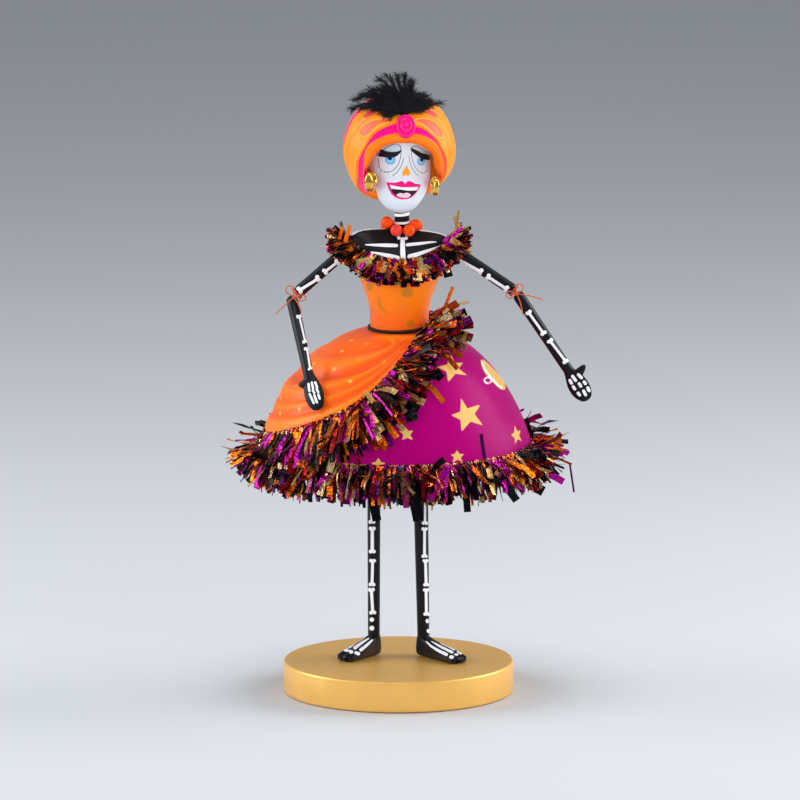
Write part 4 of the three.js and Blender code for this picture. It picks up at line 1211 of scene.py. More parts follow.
class DOLL_OT_face(bpy.types.Operator):
    """White face with painted eyes, nose and open mouth"""

    bl_idname = "doll.face"
    bl_label = "Face"

    def execute(self, context):
        low, high = FACE[0][0], FACE[-1][0]

        def place(across, down):
            # Rows stand closer at the chin and the crown, where the face rounds off
            share = down - 0.035 * math.sin(TURN * down)
            height = low + (high - low) * share
            angle = closer_in_front(across, 0.09)
            wide, middle, deep = (along(FACE, height, k) for k in (1, 2, 3))
            if height < CHIN_Z:
                rest = max(0.0, (height - low) / (CHIN_Z - low)) ** 0.45
                wide, deep = 10.4 * rest, 9.5 * rest
            return FACE_FRAME @ Vector((wide * math.cos(angle), middle + deep * math.sin(angle), height))

        bm = bmesh.new()
        bend(bm, 290, 230, place)
        piece = finish("face_carving", bm, [self.skin(context)], ["head"])
        local = in_frame(FACE_FRAME, spots_of(piece))
        shown = local[:, 1] < -3
        for name, values in self.features(local[:, [0, 2]]).items():
            paint(piece, name, np.where(shown, values, 9))
        return {"FINISHED"}

    # Painted shapes seen straight on, with soft outlines
    SOFT = {
        "lids": (
            ((-19.4, -4.9), (-17.1, -0.4), (-13.7, -0.9), (-9.7, -1), (-6.1, -0.3), (-3.4, 0.9), (-5.2, -2.2),
             (-8.1, -4.5), (-11.6, -5.2), (-15.5, -5.4)),
            ((3, 2.3), (7.5, 0.4), (11.9, -1.9), (16.3, -3.3), (19.2, -5), (19.6, -8.1), (14.5, -7),
             (9.9, -4.9),
             (6.4, -2.4), (3.2, 0.4)),
        ),
        "shadow": (
            ((-15.9, -0.6), (-13.2, 2.2), (-9.8, 4.3), (-6.6, 4.8), (-4.6, 3.6), (-4, 0.7), (-9.7, -1.2)),
            ((2.9, 1.4), (4.5, 3.5), (7, 3.4), (10.5, 1.6), (14.2, -0.8), (17, -3.2), (9.7, -0.9)),
        ),
        "nose": (
            ((0.3, -10.3), (1.6, -12.2), (3.1, -15.2), (2.9, -16.9), (1.6, -17.5), (0.3, -16.7),
             (-1.2, -17.7),
             (-2.5, -17), (-2.6, -15.6), (-1.4, -12.6)),
        ),
        "tongue": (
            ((-5.8, -31.4), (-3.4, -29.7), (-1, -30.1), (1, -29.4), (3.4, -30.1), (4.4, -31.4), (2.6, -32.8),
             (-0.4, -33.1), (-3.6, -32.7)),
        ),
    }
    # Shapes with straight outlines between their corners
    SHARP = {
        "lips": (
            (-12.9, -22.7), (-10.2, -22.7), (-7.4, -22.6), (-5.2, -21.9), (-3, -21), (-1.5, -21.5),
            (-0.2, -23.1),
            (1.1, -21.5), (2.8, -21), (4.8, -21.8), (7.4, -23.3), (11.9, -24.1), (10.9, -26.6), (8.6, -29.9),
            (5.7, -32.7), (2.4, -34.1), (-2.3, -34.4), (-6, -33.4), (-9, -31.1), (-11.3, -27.3),
        ),
        "mouth": (
            (-10.9, -24), (-7.3, -24.7), (-2.8, -25.4), (2.6, -25.5), (7.1, -25.4), (10.2, -25.4),
            (9.3, -27.9),
            (7.4, -30.2), (5, -32.1), (2, -33.1), (-2.2, -33.3), (-5.4, -32.3), (-8.1, -30.2), (-9.8, -27.2),
        ),
        "teeth": (
            (-10.6, -24.3), (-2.8, -25.6), (10, -25.6), (9.2, -27.9), (6.8, -28.1), (1.9, -28), (-2.7, -27.3),
            (-9.6, -27),
        ),
    }
    # Two round spots each: their middles, radius and stretch
    ROUND = {
        "iris": ((-10.9, -6.7), (11.4, -7.4), 3.3, 1), "pupil": ((-11.2, -5.6), (11.8, -6.6), 1.5, 1),
        "blush": ((-17.2, -23.8), (18.2, -24.2), 1, 1.2),
    }
    LASHES = (
        ((-19.2, -1.2), (-17.4, -2.2)), ((-19.9, -2.8), (-18, -3.4)), ((-20.2, -4.6), (-18.4, -4.6)),
        ((19.2, -3.6), (17.8, -4.4)), ((20.2, -5.4), (18.6, -5.6)), ((20.4, -7.2), (18.9, -7)),
    )
    # Thin lines round the eyes
    CREASES = (
        ((-4.4, 3.4), (-4, 0.6), (-4, -1.8), (-4.4, -5.6), (-5.4, -9.1), (-7.4, -12.3), (-9.8, -14.6),
         (-12.6, -15.5), (-14.6, -15.4), (-16.5, -14.3), (-17.7, -10.7), (-18, -7.3)),
        ((3.2, 0.2), (3.8, -3.6), (4.8, -7.5), (6.8, -11.4), (9.4, -14.3), (12.2, -15.9), (15, -15.9),
         (16.8, -14.2)),
        ((-2.2, -4.8), (-2.8, -8.6), (-4.2, -12.1), (-6.2, -15.3), (-9, -17.8)),
        ((1.6, -3.2), (2.5, -7.4), (4.3, -11.7), (6.5, -14.9), (9.6, -17.8)),
        ((-15.9, -0.6), (-13.2, 2.2), (-9.8, 4.3), (-6.6, 4.8), (-4.4, 3.4)),
        ((2.9, 1.6), (4.5, 3.5), (7, 3.4), (10.5, 1.6), (14.2, -0.8), (17, -3)),
    )
    # Short ticks under the eyes: where each starts, and how far it reaches sideways
    TICKS = (
        (-17.4, -12.2, -0.9), (-15.9, -14.6, -0.9), (-13.8, -15.5, -0.9), (-11.4, -15.2, -0.9),
        (12, -15.8, 0.6), (14.2, -16, 0.6), (16.2, -15.2, 0.6),
    )

    def features(self, p):
        made = {
            name: np.min([polygon(p, curve_through(corners, 4)) for corners in shapes], axis=0)
            for name, shapes in self.SOFT.items()
        }
        for name, corners in self.SHARP.items():
            made[name] = polygon(p, corners)
        for name, (left, right, radius, stretch) in self.ROUND.items():
            made[name] = np.minimum(disc(p, left, radius, stretch), disc(p, right, radius, stretch))
        made["tongue"] = np.maximum(made["tongue"], made["mouth"])
        made["lash_marks"] = np.min([line(p, v, 0.28) for v in self.LASHES], axis=0)
        strokes = [line(p, curve_through(v, 4, closed=False), 0.2) for v in self.CREASES]
        strokes += [line(p, ((x, z), (x + reach, z - 1.1)), 0.16) for x, z, reach in self.TICKS]
        made["creases"] = np.min(strokes, axis=0)
        return made

    def skin(self, context):
        skin = painted("face_white", context.scene.doll_colours.face, 0.36, 0.03, 0.06)
        skin.wash("blush", (240, 130, 170), 4.2, 0.2, 0.6)
        skin.shape("shadow", (176, 204, 216), 0.12)
        skin.wash("shadow", (112, 150, 178), 0.0, -2.4, 0.0, 0.35)
        layers = (
            ("shadow", (186, 214, 226), 0.3, -0.9),
            ("iris", (84, 168, 222), 0.3, 0), ("iris", (146, 204, 238), 0.4, -1.2),
            ("pupil", (22, 52, 96), 0.2, 0), ("pupil", (10, 14, 24), 0.15, -0.6),
            ("creases", (40, 46, 62), 0.1, 0), ("lids", (20, 24, 32), 0.08, 0),
            ("lash_marks", (222, 228, 236), 0.08, 0), ("nose", (250, 158, 36), 0.1, 0),
            ("lips", (232, 16, 122), 0.08, 0), ("mouth", (26, 22, 30), 0.08, 0),
            ("teeth", (236, 238, 244), 0.08, 0), ("tongue", (246, 196, 214), 0.08, 0),
        )
        for name, tint, edge, offset in layers:
            skin.shape(name, tint, edge, offset)
        return skin.done()


def ball_spot(round_degrees, away_degrees, radius):
    """Spot on the head ball: degrees round from the top of the face, degrees away from straight ahead."""
    turn, away = math.radians(round_degrees), math.radians(away_degrees)
    spread = radius * math.sin(away)
    return Vector((spread * math.sin(turn), -radius * math.cos(away), spread * math.cos(turn)))


# Leaf shapes pressed into the wrap, low down and above them redder ones: degrees round and degrees away
LEAVES = (
    ((-70.2, 56.1), (-67.8, 58.2), (-59.7, 58.2), (-50.8, 54.1), (-41.5, 48.8), (-31.7, 44.3), (-21, 40.7),
     (-30.2, 40.1), (-42.6, 42.5), (-52.3, 43.6), (-62.9, 45.2), (-70.3, 50.5)),
    ((17, 38.2), (28, 43.9), (39.2, 48.2), (50.9, 49.9), (61.8, 50.7), (66, 47.9), (65, 42.8), (58.6, 39.3),
     (43.8, 37.2), (31.5, 38.1), (21.9, 37.6)),
)
HIGH_LEAVES = (
    ((-51, 67), (-48.1, 70.2), (-42.6, 69.6), (-35.3, 65.8), (-31.7, 62.1), (-40.5, 59.1), (-48.8, 62.2)),
    ((29.2, 55.6), (31.5, 62.3), (36.3, 65.3), (41.4, 64.5), (43.9, 61.6), (39.2, 56.5), (32.4, 54)),
)
# Soft creases of the wrap, in front and behind, and the shallow lines beside the leaves
CREASES = (
    ((-48.6, 54.3), (-66, 63.5), (-85.1, 72.6), (-103, 76.7), (-125.2, 89.1), (-143.6, 85.3)),
    ((27.2, 51.3), (43.2, 55.3), (60.3, 57.6), (78.7, 58.4), (98.2, 59.1), (118.6, 59.5)),
    ((-34.7, 55.8), (-56.1, 62.5), (-73.9, 68.5)),
    ((88, 88), (112, 98), (140, 108), (168, 118), (198, 126)), ((-92, 96), (-122, 106), (-150, 112),
     (-178, 112)),
    ((60, 96), (92, 112), (128, 132), (170, 150)), ((-64, 100), (-100, 124), (-140, 140), (-176, 138)),
)
LEAF_LINES = (
    ((-11.7, 35.8), (-31.1, 44.1), (-48.6, 54.3)), ((13.4, 40), (28.8, 47.1), (45.3, 52)),
)


class DOLL_OT_turban(bpy.types.Operator):
    """Orange turban with a pink layer, rolled brim and a round jewel"""

    bl_idname = "doll.turban"
    bl_label = "Turban"

    def execute(self, context):
        self.wrap(context)
        self.jewel(context)
        return {"FINISHED"}

    def edges(self, degrees):
        """Degrees away of the wrap's edge, the brim's edge and the brim's edge over the face."""
        wrap = along(WRAP_EDGE, degrees)
        return wrap, min(along(BRIM_EDGE, degrees), wrap - 0.35), along(BRIM_INNER, degrees)

    def reach(self, degrees, away):
        """Radius of the wrapped ball, which bulges low down at the sides."""
        low = float(smooth(away, 40, 75) * smooth(away, 150, 112))
        return TURBAN_RADIUS + (along(TURBAN_RADII, degrees) - TURBAN_RADIUS) * low

    def wrap(self, context):
        colours = context.scene.doll_colours
        columns, ball_rows, lip_rows, band_rows, roll_rows = 320, 140, 4, 5, 24
        rows = ball_rows + lip_rows + band_rows + roll_rows + 5
        thick, back = 1.1, 34.6
        made = [self.edges(-180 + 360 * column / columns) for column in range(columns)]
        made.append(made[0])

        def place(across, down):
            column = round(across * columns)
            degrees = -180 + 360.0 * (column % columns) / columns
            wrap, brim, inner = made[column]
            row = round(down * rows)
            lip = math.degrees(thick / TURBAN_RADIUS)
            edge = self.reach(degrees, wrap)
            if row <= ball_rows:
                away = 180 - (180 - wrap - lip) * (row / ball_rows) ** 0.9
                return ball_spot(degrees, away, self.reach(degrees, away))
            if row <= ball_rows + lip_rows:
                roll = (row - ball_rows) / lip_rows * math.pi / 2
                away = wrap + lip - lip * math.sin(roll)
                return ball_spot(degrees, away, edge - thick * (1 - math.cos(roll)))
            if row <= ball_rows + lip_rows + band_rows:
                share = (row - ball_rows - lip_rows) / band_rows
                return ball_spot(degrees, wrap + (brim - wrap) * share, edge - thick - 0.6)
            step = row - ball_rows - lip_rows - band_rows
            if step <= roll_rows:
                share = step / roll_rows
                bulge = 2.7 * math.sin(math.pi * min(share, 1)) ** 0.62
                level = edge - thick - 0.6 + (back - edge + thick + 0.6) * share
                away = brim + (inner - brim) * (0.5 - 0.5 * math.cos(math.pi * share))
                return ball_spot(degrees, away, level + bulge)
            step -= roll_rows
            # Behind the face the skin runs straight back and closes
            rim = ball_spot(degrees, inner, back)
            if step <= 4:
                return Vector((rim.x, rim.y + (-3 - rim.y) * step / 4, rim.z))
            return Vector((0, -3, -4))

        bm = bmesh.new()
        bend(bm, columns, rows, place)
        self.press(bm)
        bmesh.ops.transform(bm, matrix=HEAD_FRAME, verts=bm.verts)
        orange = painted("turban_orange", colours.turban, 0.4, 0.04)
        # Creases are painted darker orange: painted shade in them
        orange.wash("crease", (240, 112, 16), 0.1, 0.75, 0.55)
        # Each leaf: a pale outline that is a painted highlight on the rim of its hollow, and a coral middle
        orange.shape("leaf", (255, 176, 78), 0.3, 0.6).shape("leaf", (250, 108, 60), 0.35, 0.15)
        orange.wash("leaf", (250, 96, 62), -0.2, -0.9, 0.9)
        # The higher leaves likewise, with a pale outline of painted highlight
        orange.shape("high_leaf", (255, 170, 76), 0.35, 0.5).shape("high_leaf", (250, 78, 84), 0.4, -0.2)
        # A pale line along the edge of the wrap: painted highlight
        orange.wash("rim", (255, 164, 56), 1.2, 0.2, 0.55)
        # A painted pink reflection high on the right, then the pink layer under the wrap
        orange.shape("pink_rim_reflection", colours.pink, 0.3).shape("band", colours.pink, 0.05)
        # The brim's roll, with a painted highlight along its middle
        orange.shape("roll", colours.brim, 0.05).wash("crown", (255, 140, 30), 0, 1, 0.45)
        piece = finish("turban_wrap", bm, [orange.done()], ["head"])
        self.mark(piece)

    def leaf_distance(self, leaves, degrees, away):
        """Millimetres outside the nearest leaf shape, on the ball."""
        values = np.full(len(degrees), 20.0)
        for leaf in leaves:
            middle = math.radians(sum(c[0] for c in leaf) / len(leaf))
            flat = []
            for turn, tilt in leaf:
                reach = TURBAN_RADIUS * math.radians(tilt)
                angle = math.radians(turn) - middle
                flat.append((reach * math.sin(angle), reach * math.cos(angle)))
            reach = TURBAN_RADIUS * np.radians(away)
            angle = np.radians(degrees) - middle
            near = np.cos(angle) > 0
            spots = np.column_stack([reach * np.sin(angle), reach * np.cos(angle)])[near]
            values[near] = np.minimum(values[near], polygon(spots, curve_through(flat, 4)))
        return values

    def polar(self, spots):
        radius = np.linalg.norm(spots, axis=1)
        degrees = np.degrees(np.arctan2(spots[:, 0], spots[:, 2]))
        away = np.degrees(np.arccos(np.clip(-spots[:, 1] / np.maximum(radius, 1e-6), -1, 1)))
        return degrees, away, radius

    def crease_depth(self, spots, lines, width):
        """Depth of soft lines that run over the ball, fading out at their ends."""
        on_ball = unit(spots) * TURBAN_RADIUS
        depth = np.zeros(len(spots))
        for corners in lines:
            path = curve_through([ball_spot(*corner, TURBAN_RADIUS) for corner in corners], 5, closed=False)
            last = len(path) - 1
            fade = [-1.6 * abs(2 * k / last - 1) ** 3 for k in range(last + 1)]
            depth = np.maximum(depth, np.exp(-np.square(np.maximum(line(on_ball, path, *fade), 0) / width)))
        return depth

    def press(self, bm):
        """Leaves and creases are pressed into the wrap."""
        spots = np.array([v.co[:] for v in bm.verts])
        degrees, away, radius = self.polar(spots)
        leaf = np.minimum(
            self.leaf_distance(LEAVES, degrees, away), self.leaf_distance(HIGH_LEAVES, degrees, away)
        )
        depth = 0.8 * smooth(leaf, 0.9, -0.9) - 0.35 * np.exp(-(((leaf - 1.5) / 0.7) ** 2))
        fine = self.crease_depth(spots, LEAF_LINES, 0.8)
        depth += 0.75 * self.crease_depth(spots, CREASES, 1.5) + 0.35 * fine
        for vert, turn, tilt, far, much in zip(bm.verts, degrees, away, radius, depth):
            if far > self.reach(turn, tilt) - 0.3 and tilt > along(WRAP_EDGE, turn):
                vert.co *= 1 - much / TURBAN_RADIUS

    def mark(self, piece):
        local = in_frame(HEAD_FRAME, spots_of(piece))
        degrees, away, radius = self.polar(local)
        wrap, brim, inner = np.array([self.edges(turn) for turn in degrees]).T
        edge = np.array([self.reach(turn, tilt) for turn, tilt in zip(degrees, wrap)])
        gap = (away - wrap) * TURBAN_RADIUS * math.pi / 180
        for name, leaves in (("leaf", LEAVES), ("high_leaf", HIGH_LEAVES)):
            paint(piece, name, np.where(gap > 0.3, self.leaf_distance(leaves, degrees, away), 9))
        # A pink stripe on the side of the ball, high on the right: a painted reflection of pink light
        far = np.abs(away - 89) - 5.5 * (1 - ((degrees + 62) / 36) ** 2)
        paint(piece, "pink_rim_reflection", far * TURBAN_RADIUS * math.pi / 180)
        # The darker paint along the creases and leaf lines is painted shade
        fine = self.crease_depth(local, LEAF_LINES, 0.8)
        crease = np.maximum(self.crease_depth(local, CREASES, 1.3), 0.5 * fine)
        paint(piece, "crease", np.where(gap > 0.3, crease, 0))
        # Where the pale line of painted highlight runs along the wrap's edge
        paint(piece, "rim", np.abs(gap - 1.1) + np.where(gap < -0.1, 5, 0))
        low = (gap < 0.05) & (radius < edge - 1.3)
        paint(piece, "band", np.where(low & (away > brim - 0.05), -1.0, 1.0))
        paint(piece, "roll", np.where((away < brim - 0.05) & (gap < 0), -1.0, 1.0))
        # The middle of the roll is painted a little more yellow: a painted highlight
        share = (away - inner) / np.maximum(brim - inner, 0.1)
        glow = np.exp(-(((share - 0.5) / 0.22) ** 2))
        paint(piece, "crown", np.where((away < brim - 0.05) & (gap < 0), glow, 0))

    # The jewel's height over its back, by share of the way out
    JEWEL = (
        (0, 4.1), (0.12, 4.0), (0.2, 3.5), (0.26, 2.7), (0.32, 2.7), (0.38, 3.4), (0.48, 3.75), (0.57, 3.4),
        (0.64, 2.4), (0.7, 1.8), (0.76, 2.0), (0.83, 2.6), (0.9, 2.3), (0.96, 1.3), (1, -0.6),
    )

    def jewel(self, context):
        rings, around = 60, 110

        def place(across, down):
            angle, share = across * TURN, min(down * 1.15, 1.0)
            if down * 1.15 > 1.0:
                share = 1 - (down * 1.15 - 1) / 0.15
                height = -0.6 - 0.4 * math.sin(math.pi * share)
            else:
                height = along(self.JEWEL, share)
            radius_x, radius_z = JEWEL_SIZE
            return Vector((radius_x * share * math.cos(angle), -height, radius_z * share * math.sin(angle)))

        bm = bmesh.new()
        bend(bm, around, rings, place)
        tilt = Matrix.Rotation(math.radians(-JEWEL_TILT), 4, "X")
        seat = HEAD_FRAME @ Matrix.Translation(ball_spot(0, JEWEL_TILT, TURBAN_RADIUS - 0.3)) @ tilt
        bmesh.ops.transform(bm, matrix=seat, verts=bm.verts)
        # The jewel's grooves are painted darker pink: painted shade
        pink = painted("jewel_pink", linear(244, 26, 128), 0.3, 0.06).shape("groove_shade", (206, 8, 92), 0.7)
        piece = finish("turban_jewel", bm, [pink.done()], ["head"])
        local = in_frame(seat, spots_of(piece))
        share = np.hypot(local[:, 0] / JEWEL_SIZE[0], local[:, 2] / JEWEL_SIZE[1])
        gaps = np.min([np.abs(share - m) for m in (0.28, 0.7)], axis=0)
        paint(piece, "groove_shade", gaps * 12 - 0.4)


class DOLL_OT_earrings(bpy.types.Operator):
    """Chunky polished half hoops"""

    bl_idname = "doll.earrings"
    bl_label = "Earrings"

    def execute(self, context):
        gold = Finish("earring_gold", linear(238, 190, 86), 0.18, 1.0)
        material = gold.mottle(300, 0.1, 2).rough(260, 2, 0.03, 0.4).done()
        for name, (centre, turn) in EARRINGS.items():
            frame_here = HEAD_FRAME @ Matrix.Translation(centre) @ Matrix.Rotation(math.radians(turn), 4, "Z")
            most = 3.5 if name == "right" else 2.7

            def place(across, down):
                sweep = math.radians(104 + 326 * down)
                swell = math.sin(math.pi * min(max(down, 0), 1)) ** 0.42
                angle = across * TURN
                # Six soft flats run along the hoop
                thick = most * swell * (1 - 0.03 * math.cos(6 * angle))
                reach = 4.3 + thick * math.cos(angle) * 0.95
                height = reach * 1.16 * math.sin(sweep)
                return Vector((reach * math.cos(sweep), thick * math.sin(angle), height))

            bm = bmesh.new()
            bend(bm, 60, 80, place)
            bmesh.ops.transform(bm, matrix=frame_here, verts=bm.verts)
            finish(name + "_earring_hoop", bm, [material], [name + "_earring"])
        return {"FINISHED"}


class DOLL_OT_beads(bpy.types.Operator):
    """Necklace of round beads"""

    bl_idname = "doll.beads"
    bl_label = "Beads"

    def execute(self, context):
        colours = context.scene.doll_colours
        plain = painted("bead_orange", colours.bead, 0.55, 0.16, 0.3).done()
        striped = painted("bead_striped", colours.bead, 0.55, 0.16, 0.3)
        wave = striped.node("ShaderNodeTexWave", bands_direction="X")
        striped.feed(wave.inputs["Vector"], striped.place)
        for key, number in (("Scale", 260), ("Distortion", 4), ("Detail Scale", 2)):
            wave.inputs[key].default_value = number
        striped.layer(linear(214, 14, 92), striped.spread(wave.outputs["Fac"], 0.62, 0.82, 0, 0.8))
        striped = striped.done()
        for index in range(BEAD_COUNT):
            angle = (index + 0.5) / BEAD_COUNT * TURN - math.pi / 2
            droop = BEAD_DROOP * ((1 - math.sin(angle)) / 2) ** 5
            out, along_ring = ways_round(angle)
            centre = BEAD_RING + out * BEAD_RING_RADIUS - Vector((0, 0, droop))
            shift, up = BEAD_SHIFTS.get(index, (0.0, 0.0))
            centre += Vector((shift, 0, up - 4.0 * float(smooth(math.sin(angle), 0, 0.6))))
            bm = bmesh.new()
            for vert in bmesh.ops.create_icosphere(bm, subdivisions=4, radius=BEAD_RADIUS)["verts"]:
                # The string's hole dimples both ends of a hand rolled bead
                end = abs(vert.co.normalized().dot(along_ring))
                vert.co *= 1 + 0.02 * noise.noise(vert.co * 0.5 + Vector((index * 7, 0, 0)))
                vert.co -= vert.co.normalized() * 0.9 * float(smooth(end, 0.955, 1.0))
                vert.co += centre
            material = striped if index == BEAD_COUNT - 1 else plain
            finish(f"bead_{index + 1}_ball", bm, [material], [f"bead_{index + 1}"])
        return {"FINISHED"}


def strip_sheet(columns, segments):
    """One flat strip, one wide, one long and one thick, with a closed skin and its rows evenly along it."""
    bm = bmesh.new()
    sheet = bmesh.ops.create_grid(bm, x_segments=columns, y_segments=segments, size=1)["verts"]
    for vert in sheet:
        vert.co = Vector((vert.co.x / 2, (vert.co.y + 1) / 2, 0))
    bmesh.ops.solidify(bm, geom=bm.faces[:], thickness=1.0)
    return bm


def repeat(bm, count):
    """Copies what is in bm until there are count of it, one after the other."""
    unit = [len(seq) for seq in (bm.verts, bm.edges, bm.faces)]
    made = 1
    while made < count:
        more = min(made, count - made)
        part = []
        for seq, size in zip((bm.verts, bm.edges, bm.faces), unit):
            seq.ensure_lookup_table()
            part += seq[: more * size]
        bmesh.ops.duplicate(bm, geom=part)
        made += more


def unit(rows):
    return rows / np.maximum(np.linalg.norm(rows, axis=1, keepdims=True), 1e-9)


def lay_strips(name, strips, columns, segments, thickness, nodes, materials, keep_clear, seed):
    """Lays a crowd of strips, each bent and twisted a little at every step along it."""
    count = len(strips)
    bm = strip_sheet(columns, segments)
    template = np.array([v.co[:] for v in bm.verts])
    faces = len(bm.faces)
    repeat(bm, count)
    rng = random.Random(seed)
    value = {key: np.array([s[key] for s in strips], float) for key in strips[0]}
    spots, heading, side = value["start"], unit(value["heading"]), unit(value["side"])
    step = value["length"] / segments
    stations = []
    for _ in range(segments + 1):
        side = unit(side - heading * np.sum(side * heading, axis=1, keepdims=True))
        normal = np.cross(side, heading)
        stations.append((spots.copy(), side.copy(), normal))
        kink = value["bend"] * dice(rng, -1, 1, count)
        heading = unit(heading * np.cos(kink)[:, None] + normal * np.sin(kink)[:, None])
        heading = unit(heading + np.array((0, 0, -1)) * value["drop"][:, None])
        roll = value["twist"] * dice(rng, -1, 1, count)
        side = unit(side * np.cos(roll)[:, None] + np.cross(heading, side) * np.sin(roll)[:, None])
        spots = spots + heading * step[:, None]
        spots = keep_clear(spots)
    out = np.empty((count, len(template), 3))
    for index, (x, y, z) in enumerate(template):
        share = round(y * segments) / segments
        spot, across, normal = stations[round(y * segments)]
        width = value["width"] * (1 - value["taper"] * share**2)
        rise = z * thickness + (0.5 - abs(x)) * value["crease"] * value["width"]
        out[:, index] = spot + across * (x * width)[:, None] + normal * rise[:, None]
    piece = finish(name, bm, materials, nodes, shade_smooth=False, recalculate=False)
    piece.data.vertices.foreach_set("co", (out.reshape(-1, 3) * MM).ravel())
    piece.data.polygons.foreach_set("material_index", np.repeat(value["material"], faces).astype(np.int32))
    piece.data.update()
    paint(piece, "shade", np.repeat(value["shade"], len(template)))
    return piece


def dice(rng, low, high, count):
    return np.array([rng.uniform(low, high) for _ in range(count)])


def strip(rng, start, heading, side, length, width, foil, **more):
    """One strip to be laid: where it starts, where it heads, which way it is wide, and how it bends."""
    made = {
        "start": tuple(start), "heading": tuple(heading), "side": tuple(side), "length": length,
        "width": width, "material": foil, "bend": 0.3, "twist": 0.3, "drop": 0.0, "taper": 0.0, "crease": 0.0,
        "shade": rng.random(),
    }
    made.update(more)
    return made


# Foils in the fringes: name, share of the strips in the under layer and on top, colour, roughness
FOILS = (
    ("foil_orange", 0.09, 0.27, (255, 122, 6), 0.18),
    ("foil_black", 0.46, 0.18, (9, 10, 14), 0.18),
    ("foil_magenta", 0.11, 0.22, (190, 8, 156), 0.18),
    ("foil_gold_glitter", 0.05, 0.16, (220, 170, 92), 0.32),
    ("foil_red", 0.18, 0.08, (160, 12, 14), 0.18),
    ("foil_plum", 0.04, 0.02, (84, 14, 96), 0.2),
    ("foil_cream", 0.0, 0.05, (255, 222, 160), 0.24),
    ("foil_copper", 0.07, 0.02, (196, 76, 14), 0.2),
)
# Single strips that stand out of the hem: from, to, width, foil
HEM_STRIPS = (
    ((33, -91, 175), (22, -96, 156), 4.9, 2), ((69, -71, 171), (89, -50, 153), 7.0, 3),
    ((92, -25, 167), (115, -25, 154), 4.9, 2), ((71, -69, 165), (82, -60, 148), 5.6, 1),
    ((81, -25, 158), (101, -25, 147), 7.0, 1), ((47, -85, 160), (48, -87, 145), 4.9, 1),
    ((10, -96, 160), (14, -98, 141), 7.7, 1), ((-18, -95, 155), (-15, -98, 141), 6.3, 1),
    ((-84, -54, 171), (-78, -64, 172), 4.2, 6), ((-93, -40, 152), (-82, -60, 161), 3.5, 0),
    ((-100, -24, 155), (-95, -40, 154), 4.2, 5),
    ((-97, -32, 174), (-93, -45, 170), 2.8, 5), ((-96, -8, 180), (-99, -32, 161), 2.8, 6),
    ((95, 14, 175), (114, 14, 176), 4.2, 0), ((93, 14, 179), (89, 14, 191), 3.5, 1),
    ((98, 2, 170), (115, 2, 168), 3.5, 2), ((112, 2, 165), (121, 2, 161), 1.6, 7),
    ((120, 2, 161), (123, 2, 141), 1.4, 5),
    ((61, -66, 166), (57, -58, 194), 2.4, 5),
)
# The same along the overskirt
DRAPE_STRIPS = (
    ((23, -24, 256), (34, -39, 245), 4.2, 0), ((33, -36, 246), (41, -43, 238), 3.5, 7),
    ((-8, -63, 229), (5, -76, 213), 3.5, 3), ((1, -66, 226), (18, -70, 219), 4.9, 3),
    ((-30, -70, 211), (-8, -85, 192), 4.9, 0), ((-29, -73, 207), (-9, -86, 189), 2.8, 7),
    ((-10, -77, 208), (-1, -84, 197), 4.2, 0), ((-5, -56, 238), (-1, -68, 225), 4.2, 2),
    ((4, -54, 240), (0, -64, 230), 3.5, 6), ((6, -52, 241), (5, -61, 233), 4.2, 1),
    ((7, -49, 244), (23, -57, 234), 3.5, 2), ((9, -46, 247), (21, -50, 242), 4.2, 1),
    ((22, -49, 241), (30, -54, 233), 6.3, 1), ((11, -61, 231), (19, -68, 222), 4.2, 4),
    ((4, -67, 224), (10, -78, 207), 8.4, 1), ((13, -71, 217), (7, -78, 208), 4.9, 1),
    ((24, -61, 227), (31, -66, 219), 3.5, 0), ((-26, -65, 221), (-19, -73, 213), 2.8, 7),
    ((-23, -63, 225), (-13, -74, 214), 3.5, 3), ((-16, -75, 209), (-5, -86, 192), 3.5, 5),
    ((-14, -70, 218), (4, -81, 202), 3.5, 3), ((-13, -70, 219), (1, -80, 206), 2.8, 7),
    ((-72, -50, 193), (-69, -59, 186), 3.5, 0), ((-69, -57, 186), (-67, -68, 172), 2.8, 7),
    ((-64, -63, 184), (-62, -72, 171), 4.2, 3), ((-61, -62, 192), (-46, -79, 178), 3.5, 0),
    ((-48, -69, 198), (-52, -73, 186), 3.5, 0), ((-44, -66, 206), (-36, -74, 202), 4.2, 0),
    ((-39, -71, 202), (-34, -79, 194), 2.8, 2), ((-44, -76, 187), (-48, -81, 172), 4.9, 6),
    ((-30, -72, 208), (-22, -83, 193), 2.1, 6), ((23, -36, 250), (25, -48, 242), 3.5, 2),
    ((27, -17, 257), (44, 0, 254), 4.2, 3), ((24, -10, 259), (43, -5, 264), 2.8, 2),
    ((26, 3, 260), (47, -5, 271), 5.6, 1), ((34, -26, 251), (44, -31, 244), 4.2, 7),
    ((29, -4, 270), (41, -6, 277), 5.6, 7), ((30, -4, 265), (44, -6, 270), 6.3, 3),
    ((31, -4, 270), (38, -6, 289), 2.4, 0), ((37, -4, 275), (49, -6, 278), 2.1, 6),
)
